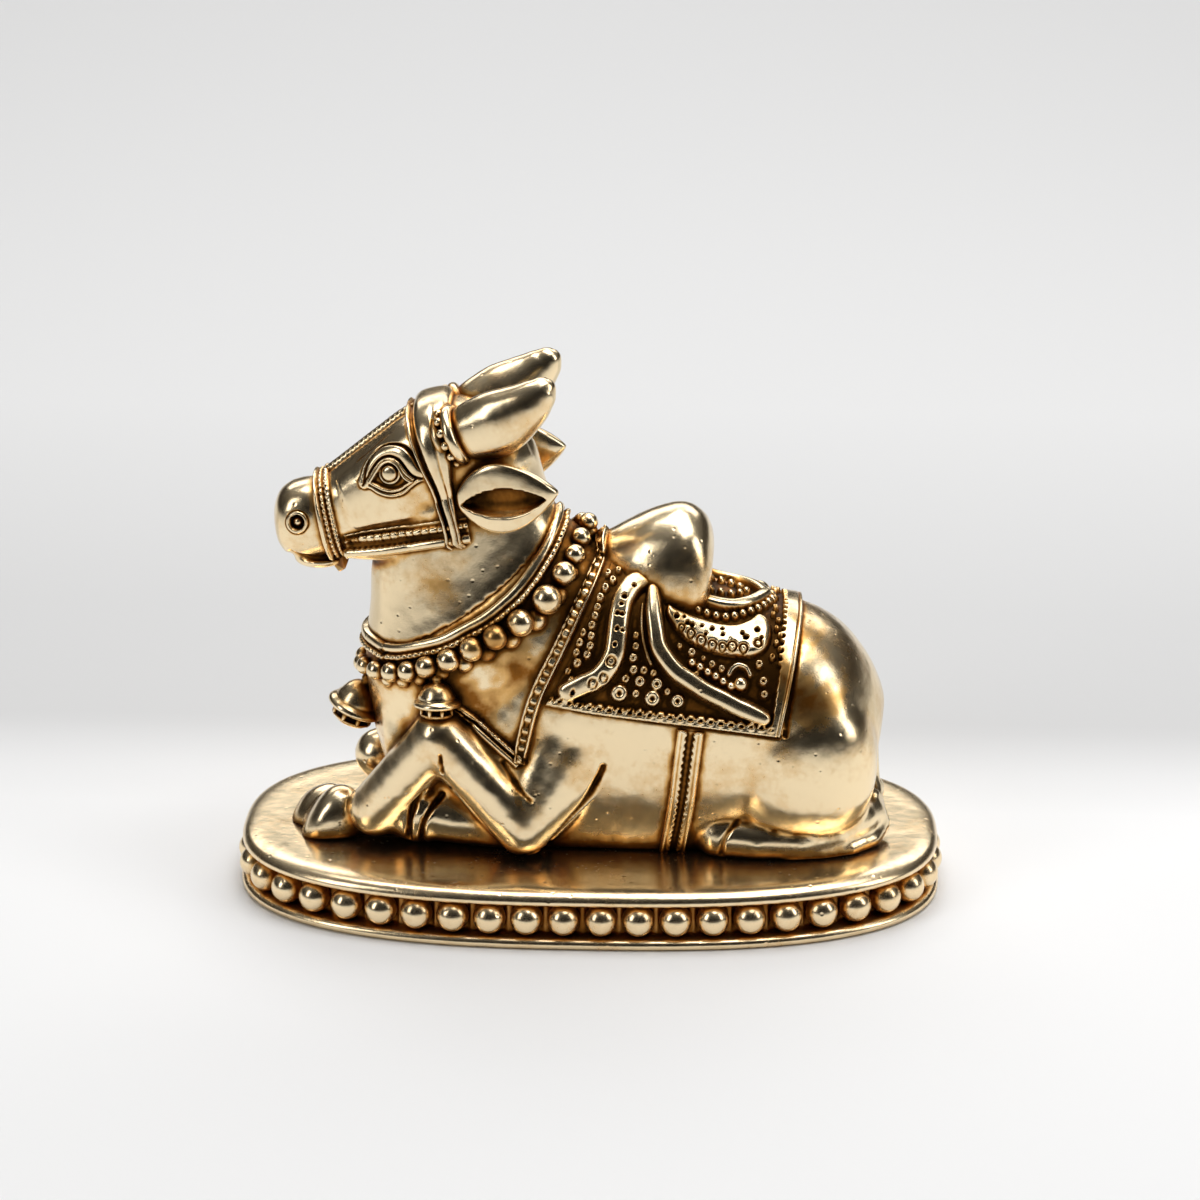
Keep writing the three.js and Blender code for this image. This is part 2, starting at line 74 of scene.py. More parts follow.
def add(tree, kind, sockets=None, settings=None):
    """Adds a shader node; a socket takes a value, or a link from another node's output."""
    node = tree.nodes.new("ShaderNode" + kind)
    for name, value in (settings or {}).items():
        setattr(node, name, value)
    for name, value in (sockets or {}).items():
        if isinstance(value, bpy.types.NodeSocket):
            tree.links.new(value, node.inputs[name])
        else:
            node.inputs[name].default_value = value
    return node


def colour_ramp(tree, factor, stops):
    """Adds a colour ramp with stops of (place, sRGB hex)."""
    ramp = add(tree, "ValToRGB", {"Fac": factor})
    while len(ramp.color_ramp.elements) < len(stops):
        ramp.color_ramp.elements.new(1.0)
    for element, (place, code) in zip(ramp.color_ramp.elements, stops):
        element.position = place
        element.color = linear(code)
    return ramp


FLOOR_REACH = 6.0
PAPER_FRONT, PAPER_BACK = -0.3, 1.2
paper = bpy.data.materials.new("matt_white_paper_painted_shade_band")
paper.use_nodes = True
tree = paper.node_tree
tree.nodes.clear()
place = add(tree, "TexCoord")
axes = add(tree, "SeparateXYZ", {"Vector": place.outputs["Object"]})
depth = add(tree, "MapRange", {"Value": axes.outputs["Y"], "From Min": PAPER_FRONT, "From Max": PAPER_BACK})
# the paper's white and its painted shade band from its front to its back, as shares of that depth
PAPER_SHADE_STOPS = [
    (0.0, "#ECECEC"),
    (0.156, "#EEEEEE"),
    (0.222, "#F0F0F0"),
    (0.237, "#E6E6E6"),
    (0.246, "#DCDCDC"),
    (0.256, "#D0D0D0"),
    (0.309, "#D2D2D2"),
    (0.425, "#E0E0E0"),
    (1.0, "#E9E9E9"),
]
white = colour_ramp(tree, depth.outputs["Result"], PAPER_SHADE_STOPS)
matt = add(tree, "BsdfDiffuse", {"Color": white.outputs["Color"]})
add(tree, "OutputMaterial", {"Surface": matt.outputs["BSDF"]})
sheet = bmesh.new()
bmesh.ops.create_grid(sheet, x_segments=1, y_segments=1, size=FLOOR_REACH)
floor_mesh = bpy.data.meshes.new("floor")
sheet.to_mesh(floor_mesh)
sheet.free()
floor_mesh.materials.append(paper)
floor = bpy.data.objects.new("floor", floor_mesh)
bpy.context.scene.collection.objects.link(floor)

# The light is a large soft box overhead, a tall one on either side towards the front, one over the
# far paper, and the walls of the studio, which are dark behind the camera: that draws the modelling.
world = bpy.data.worlds.new("studio_walls")
world.use_nodes = True
bpy.context.scene.world = world
tree = world.node_tree
tree.nodes.clear()
place = add(tree, "TexCoord")
axes = add(tree, "SeparateXYZ", {"Vector": place.outputs["Generated"]})
# the walls' tone from straight down to straight up
WALL_STOPS = [
    (0.0, "#8A8682"),
    (0.5, "#8A8682"),
    (0.56, "#2A2622"),
    (0.68, "#3C3834"),
    (0.82, "#6A6866"),
    (1.0, "#A4A3A2"),
]
rise = add(tree, "MapRange", {"Value": axes.outputs["Z"], "From Min": -1.0, "From Max": 1.0})
walls = colour_ramp(tree, rise.outputs["Result"], WALL_STOPS)
# they fade from full strength beyond the figure to nearly dark behind the camera
BRIGHT_SIDE, DARK_SIDE, DARK_SHARE = 0.5, -0.6, 0.14
side = add(tree, "MapRange", {"Value": axes.outputs["Y"], "From Min": DARK_SIDE, "From Max": BRIGHT_SIDE})
side.inputs["To Min"].default_value = DARK_SHARE
glow = add(tree, "Background", {"Color": walls.outputs["Color"], "Strength": side.outputs["Result"]})
add(tree, "OutputWorld", {"Surface": glow.outputs["Background"]})

SOFT_BOXES = {
    # name: (place, aim, width, height, watts)
    "overhead_box": ((0.1, 0.1, 1.05), (0.0, 0.0, 0.0), 1.1, 0.7, 9.5),
    "left_box": ((-1.0, -0.75, 0.75), (0.0, 0.0, 0.05), 0.4, 0.9, 3.6),
    "right_box": ((1.15, -0.35, 0.7), (0.0, 0.0, 0.05), 0.4, 0.9, 3.6),
    "far_box": ((0.0, 1.5, 1.1), (0.0, 0.9, 0.0), 2.4, 0.8, 13.0),
}
for name, (spot, towards, width, height, watts) in SOFT_BOXES.items():
    box = bpy.data.lights.new(name, "AREA")
    box.shape = "RECTANGLE"
    box.size, box.size_y, box.energy = width, height, watts
    lamp = bpy.data.objects.new(name, box)
    lamp.location = spot
    lamp.rotation_euler = (Vector(spot) - Vector(towards)).to_track_quat("Z", "Y").to_euler()
    lamp.visible_camera = False
    bpy.context.scene.collection.objects.link(lamp)

# The plinth is an oval tray-like base of cast brass: a plain foot lip, a recessed wall with a row of
# half-sunk beads, and a rounded rim that carries the flat top. It is cast in one with the wall.
BEAD_LINE = (72.2, 37.8)
OVAL_POWER = 2.6
BEADS, BEAD_RADIUS, BEAD_HEIGHT = 48, 3.4, 6.0
BEAD_PITCH = 7.7
# between the beads the recessed wall has small pillars
PILLAR_HALF, PILLAR_PROUD = 0.35, 0.9
WALL_FOOT, WALL_HEAD = 2.8, 9.0
# inset from the bead line (outwards is negative) and height, from under the foot up to the flat top
BASE_PROFILE = [
    (-1.3, 0.0), (-2.2, 0.15), (-2.65, 0.7), (-2.7, 1.25), (-2.45, 1.8), (-1.95, 2.15), (-1.3, 2.3),
    (0.2, 2.45), (0.9, 2.6), (1.3, 2.9), (1.3, 3.4), (1.3, 8.4), (1.3, 8.9), (0.8, 9.3), (-1.2, 9.45),
    (-1.9, 9.7), (-2.25, 10.15), (-2.25, 10.65), (-2.0, 11.2), (-1.5, 11.75), (-0.7, 12.2), (0.3, 12.45),
    (1.6, 12.55), (3.6, 12.45), (6.0, 12.4),
]


def finish(mould, name, material, body="root", replaced=None):
    """Makes the shaped mesh a piece in metres that rides with the casting."""
    bmesh.ops.recalc_face_normals(mould, faces=mould.faces)
    mesh = bpy.data.meshes.new(name)
    mould.to_mesh(mesh)
    mould.free()
    mesh.polygons.foreach_set("use_smooth", [True] * len(mesh.polygons))
    piece = bpy.data.objects.new(name, mesh)
    bpy.context.scene.collection.objects.link(piece)
    mesh.materials.append(material)
    if replaced:
        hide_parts(replaced)
    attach(piece, body)
    return piece


def spots(mould, verts=None):
    """The places of a mould's vertices as an array."""
    return np.array([v.co for v in (verts or mould.verts)], dtype=float)


def move(verts, places):
    """Moves the vertices to the places."""
    for vert, place in zip(verts, places):
        vert.co = place


def append(mould, other):
    """Adds another mould's shapes, and returns their vertices."""
    carrier = bpy.data.meshes.new("carrier")
    other.to_mesh(carrier)
    other.free()
    known = set(mould.verts)
    mould.from_mesh(carrier)
    bpy.data.meshes.remove(carrier)
    return [vert for vert in mould.verts if vert not in known]


def ball(mould, around, rows):
    """Adds a round ball of radius 1 and returns its vertices."""
    other = bmesh.new()
    bmesh.ops.create_uvsphere(other, u_segments=around, v_segments=rows, radius=1)
    return append(mould, other)


def oval(turn, inset):
    """Points of the plinth's oval at an angle, moved in from the bead line."""
    c, s = np.cos(turn), np.sin(turn)
    x = np.sign(c) * np.abs(c) ** (2 / OVAL_POWER) * (BEAD_LINE[0] - inset)
    y = np.sign(s) * np.abs(s) ** (2 / OVAL_POWER) * (BEAD_LINE[1] - inset)
    return np.stack([x, y], -1)


def even_turns(count, shift=0.0):
    """Angles of the oval that are the same distance apart along the bead line."""
    fine = np.linspace(0, 2 * np.pi, 7201)
    line = oval(fine, 0)
    run = np.concatenate([[0], np.cumsum(np.linalg.norm(np.diff(line, axis=0), axis=1))])
    return np.interp((np.arange(count) + shift) / count * run[-1], run, fine)


# sRGB shades of the brass where it is polished, worn and stained, and the brown of patina and painted shade
# in the recesses
BRASS_SHADES = {
    "cast_brass_plinth": ("#F8E1B8", "#DDAF6C", "#8E5A22", "#38220A"),
    "cast_brass_polished": ("#F8E2B9", "#DDAF6C", "#8E5A22", "#38220A"),
}
# Clouds of tarnish are about 11 mm across, with a finer mottle of about 2 mm that also gives the
# grain. Filing leaves shallow dents about 10 mm across, and casting leaves pits about 3 mm apart,
# each as wide as PIT_REACH of that spacing to either side. Sizes here are in metres, depths in mm.
CLOUD_SIZE, MOTTLE_SIZE, DENT_SIZE, PIT_SPACING = 0.011, 0.0018, 0.010, 0.0032
PIT_REACH, PIT_STRENGTH, PIT_DEPTH, GRAIN_DEPTH = 0.15, 0.6, 0.14, 0.03
MOTTLE_SHARE, NOISE_MIDDLE = 0.55, 0.78
DULLEST, HAZE = 0.5, 0.12


def cast_brass(name, roughness, dents, stain):
    """Cast and polished brass: pale where it is rubbed, golden where it is not, brown in the recesses with
    patina and painted shade.
    """
    polished, worn, stained, recess = BRASS_SHADES[name]
    material = bpy.data.materials.new(name)
    material.use_nodes = True
    tree = material.node_tree
    metal = tree.nodes["Principled BSDF"]
    place = add(tree, "TexCoord").outputs["Object"]
    # the vertex attribute read here holds the patina and the painted shade together
    patina = add(tree, "Attribute", settings={"attribute_name": "patina"}).outputs["Fac"]
    noises = []
    for size, fine, rough in [(CLOUD_SIZE, 4.0, 0.6), (MOTTLE_SIZE, 5.0, 0.65), (DENT_SIZE, 2.0, 0.5)]:
        sockets = {"Vector": place, "Scale": 1 / size, "Detail": fine, "Roughness": rough}
        noises.append(add(tree, "TexNoise", sockets).outputs["Fac"])
    cloud, mottle, dent = noises
    add_up = {"operation": "MULTIPLY_ADD"}
    take_off = {"operation": "SUBTRACT", "use_clamp": True}
    blend = add(tree, "Math", {0: cloud, 1: stain, 2: patina}, add_up)
    blend = add(tree, "Math", {0: mottle, 1: stain * MOTTLE_SHARE, 2: blend.outputs[0]}, add_up)
    # each noise swings about one half, which is taken off again so that only its swing stays
    grade = add(tree, "Math", {0: blend.outputs[0], 1: stain * NOISE_MIDDLE}, take_off).outputs[0]
    # the dark end of the ramp carries the patina and the painted shade
    shades = [(0.0, polished), (0.25, worn), (0.55, stained), (1.0, recess)]
    tree.links.new(colour_ramp(tree, grade, shades).outputs["Color"], metal.inputs["Base Color"])
    metal.inputs["Metallic"].default_value = 1.0
    gloss = add(tree, "MapRange", {"Value": grade, "From Max": 0.9, "To Min": roughness, "To Max": DULLEST})
    haze = add(tree, "Math", {0: mottle, 1: HAZE, 2: gloss.outputs["Result"]}, add_up)
    dull = add(tree, "Math", {0: haze.outputs[0], 1: HAZE / 2}, take_off)
    tree.links.new(dull.outputs[0], metal.inputs["Roughness"])
    pits = add(tree, "TexVoronoi", {"Vector": place, "Scale": 1 / PIT_SPACING}, {"feature": "F1"})
    pit = add(tree, "MapRange", {"Value": pits.outputs["Distance"], "From Max": PIT_REACH})
    # dents first, then pits in them, then the grain
    bumps = [(dent, 1.0, dents), (pit.outputs["Result"], PIT_STRENGTH, PIT_DEPTH), (mottle, 1.0, GRAIN_DEPTH)]
    below = None
    for relief, strength, deep in bumps:
        bump = add(tree, "Bump", {"Height": relief, "Strength": strength, "Distance": deep * MM})
        if below:
            tree.links.new(below.outputs["Normal"], bump.inputs["Normal"])
        below = bump
    tree.links.new(below.outputs["Normal"], metal.inputs["Normal"])
    return material


plinth_brass = cast_brass("cast_brass_plinth", roughness=0.24, dents=0.15, stain=0.42)
AROUND_BASE = 480
profile = np.array(BASE_PROFILE, dtype=float)
mould = bmesh.new()
turns = even_turns(AROUND_BASE)
bmesh.ops.create_grid(mould, x_segments=AROUND_BASE, y_segments=len(profile) - 1, size=1)
co = spots(mould)
col = np.round((co[:, 0] + 1) / 2 * AROUND_BASE).astype(int) % AROUND_BASE
row = np.round((co[:, 1] + 1) / 2 * (len(profile) - 1)).astype(int)
pitch_at = (np.arange(AROUND_BASE) / AROUND_BASE * BEADS) % 1.0
pillar = np.exp(-((np.minimum(pitch_at, 1 - pitch_at) * BEAD_PITCH / PILLAR_HALF) ** 2)) * PILLAR_PROUD
on_wall = (profile[row, 1] > WALL_FOOT) & (profile[row, 1] < WALL_HEAD)
inset = profile[row, 0] - np.where(on_wall, pillar[col], 0.0)
flat = oval(turns[col], inset)
move(mould.verts, np.column_stack([flat, profile[row, 1]]) * MM)
bmesh.ops.remove_doubles(mould, verts=mould.verts, dist=0.005 * MM)
bmesh.ops.holes_fill(mould, edges=mould.edges, sides=0)
for bead_turn in even_turns(BEADS, 0.5):
    centre = oval(bead_turn, 0.0)
    bead = ball(mould, 28, 18)
    move(bead, (spots(mould, bead) * BEAD_RADIUS + [centre[0], centre[1], BEAD_HEIGHT]) * MM)
plinth = finish(mould, "beaded_plinth", plinth_brass, replaced="oval_plinth")

# The bull's body is one hollow brass casting: barrel, hump, lower neck, haunches and the four folded
# legs. The forms run into one another with soft creases, as wax parts do when they are joined.
# the forms are drawn in their own millimetres and cut flat at CAST_FOOT, which comes to lie at SEAT
CAST_FOOT, SEAT = 1.8, 12.8
# each station: high x and z, low x and z, half width, height of the widest place, squareness, sag
TRUNK = [
    (-46.6, 30, -45, 20, 4, 0.5, 2, 0),
    (-45.2, 37, -41.5, 8, 9.5, 0.45, 2, 0),
    (-41, 42, -41, -6, 13.5, 0.45, 2.1, 0),
    (-30, 48, -30, -9, 17, 0.45, 2.2, 0),
    (-15, 56, -15, -9, 20, 0.45, 2.2, 0),
    (0, 63, 0, -9, 21.8, 0.48, 2.2, 0),
    (12, 61, 12, -9, 22.2, 0.5, 2.2, 0),
    (24, 55.2, 24, -7, 22.5, 0.52, 2.2, 0),
    (36, 52.2, 36, -1, 22.8, 0.5, 2.15, 0),
    (46, 50, 46, -1, 22.6, 0.5, 2.1, 0),
    (53, 46, 53, -1, 20.8, 0.5, 2.1, 0),
    (58.3, 39.9, 57.4, 0, 16, 0.5, 2.1, 0),
    (61.4, 33.8, 59.2, 7, 10, 0.55, 2.1, 0),
    (62.4, 30, 61.4, 21, 4, 0.5, 2, 0),
]
NECK = [
    (-41, 18, 14, 46, 17, 0.5, 2.2, 0),
    (-46, 26, 8, 58, 18.5, 0.5, 2.2, 3),
    (-47.3, 36, -1.5, 66.5, 17.5, 0.5, 2.2, 4.5),
    (-47.2, 43, -6, 70.5, 15, 0.5, 2.1, 4.5),
    (-46.2, 51, -8, 74.5, 13.5, 0.5, 2.1, 3),
    (-45.6, 60, -9.5, 79, 12.5, 0.5, 2.1, 1),
    (-42.5, 72, -11.5, 86, 11.3, 0.5, 2.1, 0),
    (-36, 82, -16, 90, 7, 0.5, 2, 0),
]
HUMP = [
    (1, 65, 5, 58, 4, 0.5, 2, 0),
    (8, 69, 10, 50, 9.5, 0.45, 2, 0),
    (14, 71.8, 15, 46, 12, 0.45, 2, 0),
    (20, 72.9, 19, 45, 12.6, 0.45, 2, 0),
    (24.4, 70, 22, 46, 11.8, 0.45, 2, 0),
    (26, 65, 24, 48.5, 9.8, 0.45, 2, 0),
    (25.6, 60, 25, 51.5, 6, 0.5, 2, 0),
]
# each limb: knuckles of x, y, z and radius, for the near side
FORELEG = [(4, -13, 24.5, 8.2), (-12.9, -20, 7.6, 6), (-30.6, -18.2, 27.2, 5.9), (-44.6, -13.6, 8.6, 5.9)]
SHOULDER = [(-4, -12, 30, 9), (-12.9, -20, 7.6, 6)]
UPPER_ARM = [(1, -12.7, 27.5, 9), (-12.9, -20, 7.6, 6)]
ARM_PIT = [(-13, -15.2, 19, 6.6), (-23, -14.2, 25.5, 6)]
FAR_KNUCKLE = (-46.6, 13, 10.2), (5.3, 5.3, 5.6), 2.0
SHANK = [(-38.5, -12.5, 8.4, 6.2), (-18, -15, 6.4, 5.4)]
SHANK_RING = [(-35.8, -12.8, 8.2, 6.9), (-35, -13, 8.1, 6.9)]
HIND_LEG = [
    (28.6, -16.2, 5.4, 5.7), (36, -18, 5, 4.6), (45, -17.6, 4.6, 4.2), (52, -14.8, 5.4, 4.4),
    (57, -11, 7, 4.4),
]
HIND_HOOF = [(57, -11, 7, 4.4), (59.4, -7, 6, 4)]
HAUNCH, HAUNCH_SIZE, HAUNCH_SQUARE = (44.4, -10.8, 20.4), (16.4, 13.2, 17.6), 2.4
PASTERN = [(-52, -9, 4.4, 4.4), (-43, -9, 4.6, 4.6)]
# the fore hooves slope from the heel down to the toe; each sits aside of the middle
NEAR_HOOF, NEAR_HOOF_ASIDE = [
    (-61, 2.4, -61, 0, 2.2, 0.3, 2.2, 0),
    (-59.7, 5.2, -59.9, 0, 4.5, 0.3, 2.2, 0),
    (-57.2, 9, -57.8, 0, 5.8, 0.3, 2.2, 0),
    (-54.6, 11.3, -55, 0, 6.2, 0.3, 2.1, 0),
    (-52, 11.8, -51.8, 0, 5.8, 0.3, 2.1, 0),
    (-49.6, 10.6, -49.2, 0, 4.6, 0.35, 2, 0),
    (-48.2, 8, -48, 2, 2.4, 0.5, 2, 0),
], -9.2
FAR_HOOF, FAR_HOOF_ASIDE = [
    (-64, 2, -64, 0, 2, 0.3, 2.2, 0),
    (-62.8, 4.4, -63, 0, 3.9, 0.3, 2.2, 0),
    (-60.8, 7, -61.2, 0, 4.9, 0.3, 2.2, 0),
    (-58, 8.7, -58.2, 0, 5.2, 0.3, 2.1, 0),
    (-55, 9.2, -54.8, 0, 4.8, 0.3, 2.1, 0),
    (-52, 8, -51.6, 0, 3.4, 0.4, 2, 0),
], -2.4
TAIL = [
    (58.2, 2.5, 32, 1.5), (59.8, 1.6, 22, 1.5), (60.4, -1, 12.5, 1.6), (61.6, -4.6, 7, 1.6),
    (62.6, -7.4, 4.2, 1.7),
]
TAIL_TUFT = [
    (62.6, -7.4, 4.2, 1.6), (60.4, -12.4, 2.9, 1.8), (55.4, -16.8, 2.5, 1.7), (49, -19.4, 2.3, 1.4),
    (42, -20.9, 2, 0.9),
]
TAIL_KNOB = ((60.6, -6.2, 10.4), (1.5, 1.5, 1.5))
# grooves cut after joining, as seen from the side: path, half width, depth
BODY_GROOVES = [
    ([(-33.6, 7.6), (-35.6, 5.2), (-37.0, 1.8), (-37.5, -2.6)], 0.55, 1.3),
    ([(-30.4, 6.8), (-32.6, 3.6), (-34.2, 0.2), (-34.7, -4.0)], 0.5, 1.2),
    ([(-30.0, 15.2), (-29.8, 11.8)], 0.35, 0.9),
    ([(31.7, 2.2), (29.9, 0.3), (28.7, -2.2), (28.3, -4.8)], 0.45, 0.6),
    ([(-17.2, 14.2), (-13.8, 8.6), (-11.2, 6.0)], 0.4, 0.5),
    (
        [(-14.5, -6.0), (-9.4, -4.4), (-6.2, -1.3), (-3.2, 2.2), (0.2, 6.4), (2.8, 11.2), (3.7, 13.4)],
        0.55,
        1.1,
    ),
    ([(-2.2, 25.9), (10, 24.2), (25, 22.4), (39.9, 20.5)], 0.5, 0.8),
    ([(41.2, 20.6), (42.3, 30.6), (43.2, 36.6), (43.9, 45.7)], 0.5, 0.8),
]
# the joined skin has this grid, and is divided again this near to a groove
BODY_GRID, GROOVE_REACH = 0.75, 2.2
# rounds of smoothing after the forms are joined
EASING = 3


def along(stations, t):
    """Values between the stations of a row, on a smooth curve through them."""
    s = np.asarray(stations, dtype=float)
    t = np.clip(np.asarray(t, dtype=float), 0, len(s) - 1)
    k = np.minimum(t.astype(int), len(s) - 2)
    f = (t - k)[..., None]
    a, b, c, d = (s[np.clip(k + j, 0, len(s) - 1)] for j in (-1, 0, 1, 2))
    return 0.5 * (2 * b + (c - a) * f + (2 * a - 5 * b + 4 * c - d) * f**2 + (3 * b - a - 3 * c + d) * f**3)


def on_form(form, t, angle, grow=0.0):
    """Points of a form's skin: ring t, angle from its high side, grown outwards."""
    t, angle = np.broadcast_arrays(np.asarray(t, float), np.asarray(angle, float))
    high_x, high_z, low_x, low_z, half, widest, square, sag = np.moveaxis(along(form, t), -1, 0)
    span = np.hypot(high_x - low_x, high_z - low_z)
    ux, uz = (high_x - low_x) / span, (high_z - low_z) / span
    c, v = np.cos(angle), np.sin(angle)
    reach = np.where(c > 0, 1 - widest, widest) * span + grow
    up = np.sign(c) * np.abs(c) ** (2 / square) * reach
    out = np.sign(v) * np.abs(v) ** (2 / square) * (half + grow)
    x = low_x + ux * span * widest + ux * up
    z = low_z + uz * span * widest + uz * up - sag * v**2
    return np.stack([x, out, z], -1)


def loft(mould, form, start, end, around, rows, aside=0.0):
    """A closed form between two rings, shaped from a ball whose rings are moved onto it."""
    verts = ball(mould, around, rows)
    places = spots(mould, verts)
    ring = np.round(np.arccos(np.clip(places[:, 2], -1, 1)) / np.pi * rows)
    t = start + (end - start) * np.clip((ring - 1) / (rows - 2), 0, 1)
    skin = on_form(form, t, np.arctan2(places[:, 1], places[:, 0]))
    middle = 0.5 * (on_form(form, t, 0.0) + on_form(form, t, np.pi))
    pole = (ring < 0.5) | (ring > rows - 0.5)
    move(verts, np.where(pole[:, None], middle, skin) + [0, aside, 0])


def limb(mould, knuckles, around=32, rows=20):
    """Rounded bars from knuckle to knuckle, each shaped from a ball cut in two and drawn apart."""
    for first, second in zip(knuckles[:-1], knuckles[1:]):
        a, b = Vector(first[:3]), Vector(second[:3])
        turn = (b - a).to_track_quat("Z", "Y").to_matrix()
        verts = ball(mould, around, rows)
        for vert in verts:
            end, radius = (b, second[3]) if vert.co.z > -1e-6 else (a, first[3])
            vert.co = end + turn @ (vert.co * radius)


def egg(mould, centre, size, square=2.0, around=48, rows=32):
    """A ball drawn out to three half sizes, fuller at the corners the higher its squareness."""
    verts = ball(mould, around, rows)
    places = spots(mould, verts)
    places /= (np.abs(places) ** square).sum(1)[:, None] ** (1 / square)
    move(verts, places * np.array(size) + np.array(centre))


def mirrored(knuckles):
    """The same limb on the far side."""
    return [(x, -y, z, radius) for x, y, z, radius in knuckles]


def run_together(mould, grid, passes):
    """Joins the overlapping forms into one skin on a grid of that size, and eases its creases."""
    rough = bpy.data.meshes.new("wax")
    mould.to_mesh(rough)
    mould.free()
    wax = bpy.data.objects.new("wax", rough)
    bpy.context.scene.collection.objects.link(wax)
    joiner = wax.modifiers.new("join", "REMESH")
    joiner.mode = "VOXEL"
    joiner.voxel_size = grid
    joiner.adaptivity = 0.0
    skin = bpy.data.meshes.new_from_object(wax.evaluated_get(bpy.context.evaluated_depsgraph_get()))
    joined = bmesh.new()
    joined.from_mesh(skin)
    bpy.data.objects.remove(wax)
    for _ in range(passes):
        bmesh.ops.smooth_vert(
            joined, verts=joined.verts, factor=0.5, use_axis_x=True, use_axis_y=True, use_axis_z=True
        )
    return joined


def to_row(mould):
    """From the forms' own millimetres to metres in the row frame."""
    bmesh.ops.translate(mould, verts=mould.verts, vec=(0, 0, SEAT - CAST_FOOT))
    bmesh.ops.scale(mould, verts=mould.verts, vec=(MM, MM, MM))


def seen(places):
    """Length and height as they look from the side at the camera's rise, the same for both sides."""
    height = places[..., 2] * math.cos(CAMERA_RISE) - np.abs(places[..., 1]) * math.sin(CAMERA_RISE)
    return np.stack([places[..., 0], height], -1)


def near(places, path, closed=False):
    """Distance from each place to a path, and how far along it that is."""
    route = np.asarray(path, dtype=float)
    if closed:
        route = np.vstack([route, route[:1]])
    best = np.full(len(places), 1e9)
    run = np.zeros(len(places))
    done = 0.0
    for a, b in zip(route[:-1], route[1:]):
        way = b - a
        length = np.linalg.norm(way)
        if length < 1e-9:
            continue
        share = np.clip((places - a) @ way / length**2, 0, 1)
        off = places - (a + share[:, None] * way)
        gap = np.linalg.norm(off, axis=1)
        closer = gap < best
        best = np.where(closer, gap, best)
        run = np.where(closer, done + share * length, run)
        done += length
    return best, run


def crease(gap, half, depth):
    """The section of a soft groove."""
    return -depth * np.exp(-((gap / half) ** 2))


def smooth_path(path, steps=12):
    """A finer path on a smooth curve through the given points."""
    return along(path, np.linspace(0, len(path) - 1, (len(path) - 1) * steps + 1))


def hug(places, skin):
    """The nearest places on a skin and its outward directions there."""
    found = [skin.find_nearest(Vector(place)) for place in places]
    return np.array([hit[0] for hit in found], dtype=float), np.array([hit[1] for hit in found], dtype=float)


def drape(path, skin):
    """Points on the near side of a skin, from lengths and heights as seen from the camera's rise."""
    rise, flat = math.sin(CAMERA_RISE), math.cos(CAMERA_RISE)
    hits = []
    for x, w in path:
        hit = skin.ray_cast(Vector((x, -200, (w + 200 * rise) / flat)), Vector((0, flat, -rise)))
        hits.append(hit[0] if hit[0] is not None else Vector((x, 0, w / flat)))
    return np.array(hits, dtype=float)


def fine_near(mould, route, reach):
    """Divides the edges of a mould that lie close to a route on either side."""
    middles = np.array([edge.verts[0].co + edge.verts[1].co for edge in mould.edges]) / 2
    one_side = np.column_stack([middles[:, 0], -np.abs(middles[:, 1]), middles[:, 2]])
    close = near(one_side, route)[0] < reach
    picked = [edge for edge, chosen in zip(mould.edges, close) if chosen]
    bmesh.ops.subdivide_edges(mould, edges=picked, cuts=1, use_grid_fill=True)


bull_brass = cast_brass("cast_brass_polished", roughness=0.22, dents=0.42, stain=0.48)
mould = bmesh.new()
loft(mould, TRUNK, 0, 13, 96, 90)
loft(mould, HUMP, 0, 6, 64, 40)
loft(mould, NECK, 0, 2.95, 96, 40)
near_limbs = [FORELEG, SHOULDER, UPPER_ARM, ARM_PIT, SHANK, SHANK_RING, HIND_LEG, HIND_HOOF]
for bar in near_limbs + [mirrored(bar) for bar in near_limbs]:
    limb(mould, bar)
egg(mould, HAUNCH, HAUNCH_SIZE, HAUNCH_SQUARE)
egg(mould, (HAUNCH[0], -HAUNCH[1], HAUNCH[2]), HAUNCH_SIZE, HAUNCH_SQUARE)
for bar in (PASTERN, TAIL, TAIL_TUFT):
    limb(mould, bar)
egg(mould, *TAIL_KNOB)
egg(mould, *FAR_KNUCKLE)
loft(mould, NEAR_HOOF, 0, 6, 48, 40, NEAR_HOOF_ASIDE)
loft(mould, FAR_HOOF, 0, 5, 48, 40, FAR_HOOF_ASIDE)
mould = run_together(mould, BODY_GRID, EASING)
bmesh.ops.bisect_plane(
    mould,
    geom=mould.verts[:] + mould.edges[:] + mould.faces[:],
    dist=0.001,
    plane_co=(0, 0, CAST_FOOT),
    plane_no=(0, 0, -1),
    clear_outer=True,
)
bmesh.ops.holes_fill(mould, edges=mould.edges, sides=0)
body_skin = BVHTree.FromBMesh(mould)
grooves = [(drape(smooth_path(path, 6), body_skin), half, depth) for path, half, depth in BODY_GROOVES]
for route, _, _ in grooves:
    fine_near(mould, route, GROOVE_REACH)
mould.normal_update()
places, outward = spots(mould), np.array([vert.normal for vert in mould.verts])
one_side = np.column_stack([places[:, 0], -np.abs(places[:, 1]), places[:, 2]])
cut = np.zeros(len(places))
for route, half, depth in grooves:
    cut = np.minimum(cut, crease(near(one_side, route)[0], half, depth))
move(mould.verts, places + outward * cut[:, None])
to_row(mould)
body = finish(mould, "bull_body", bull_brass, replaced="nandi_bull")

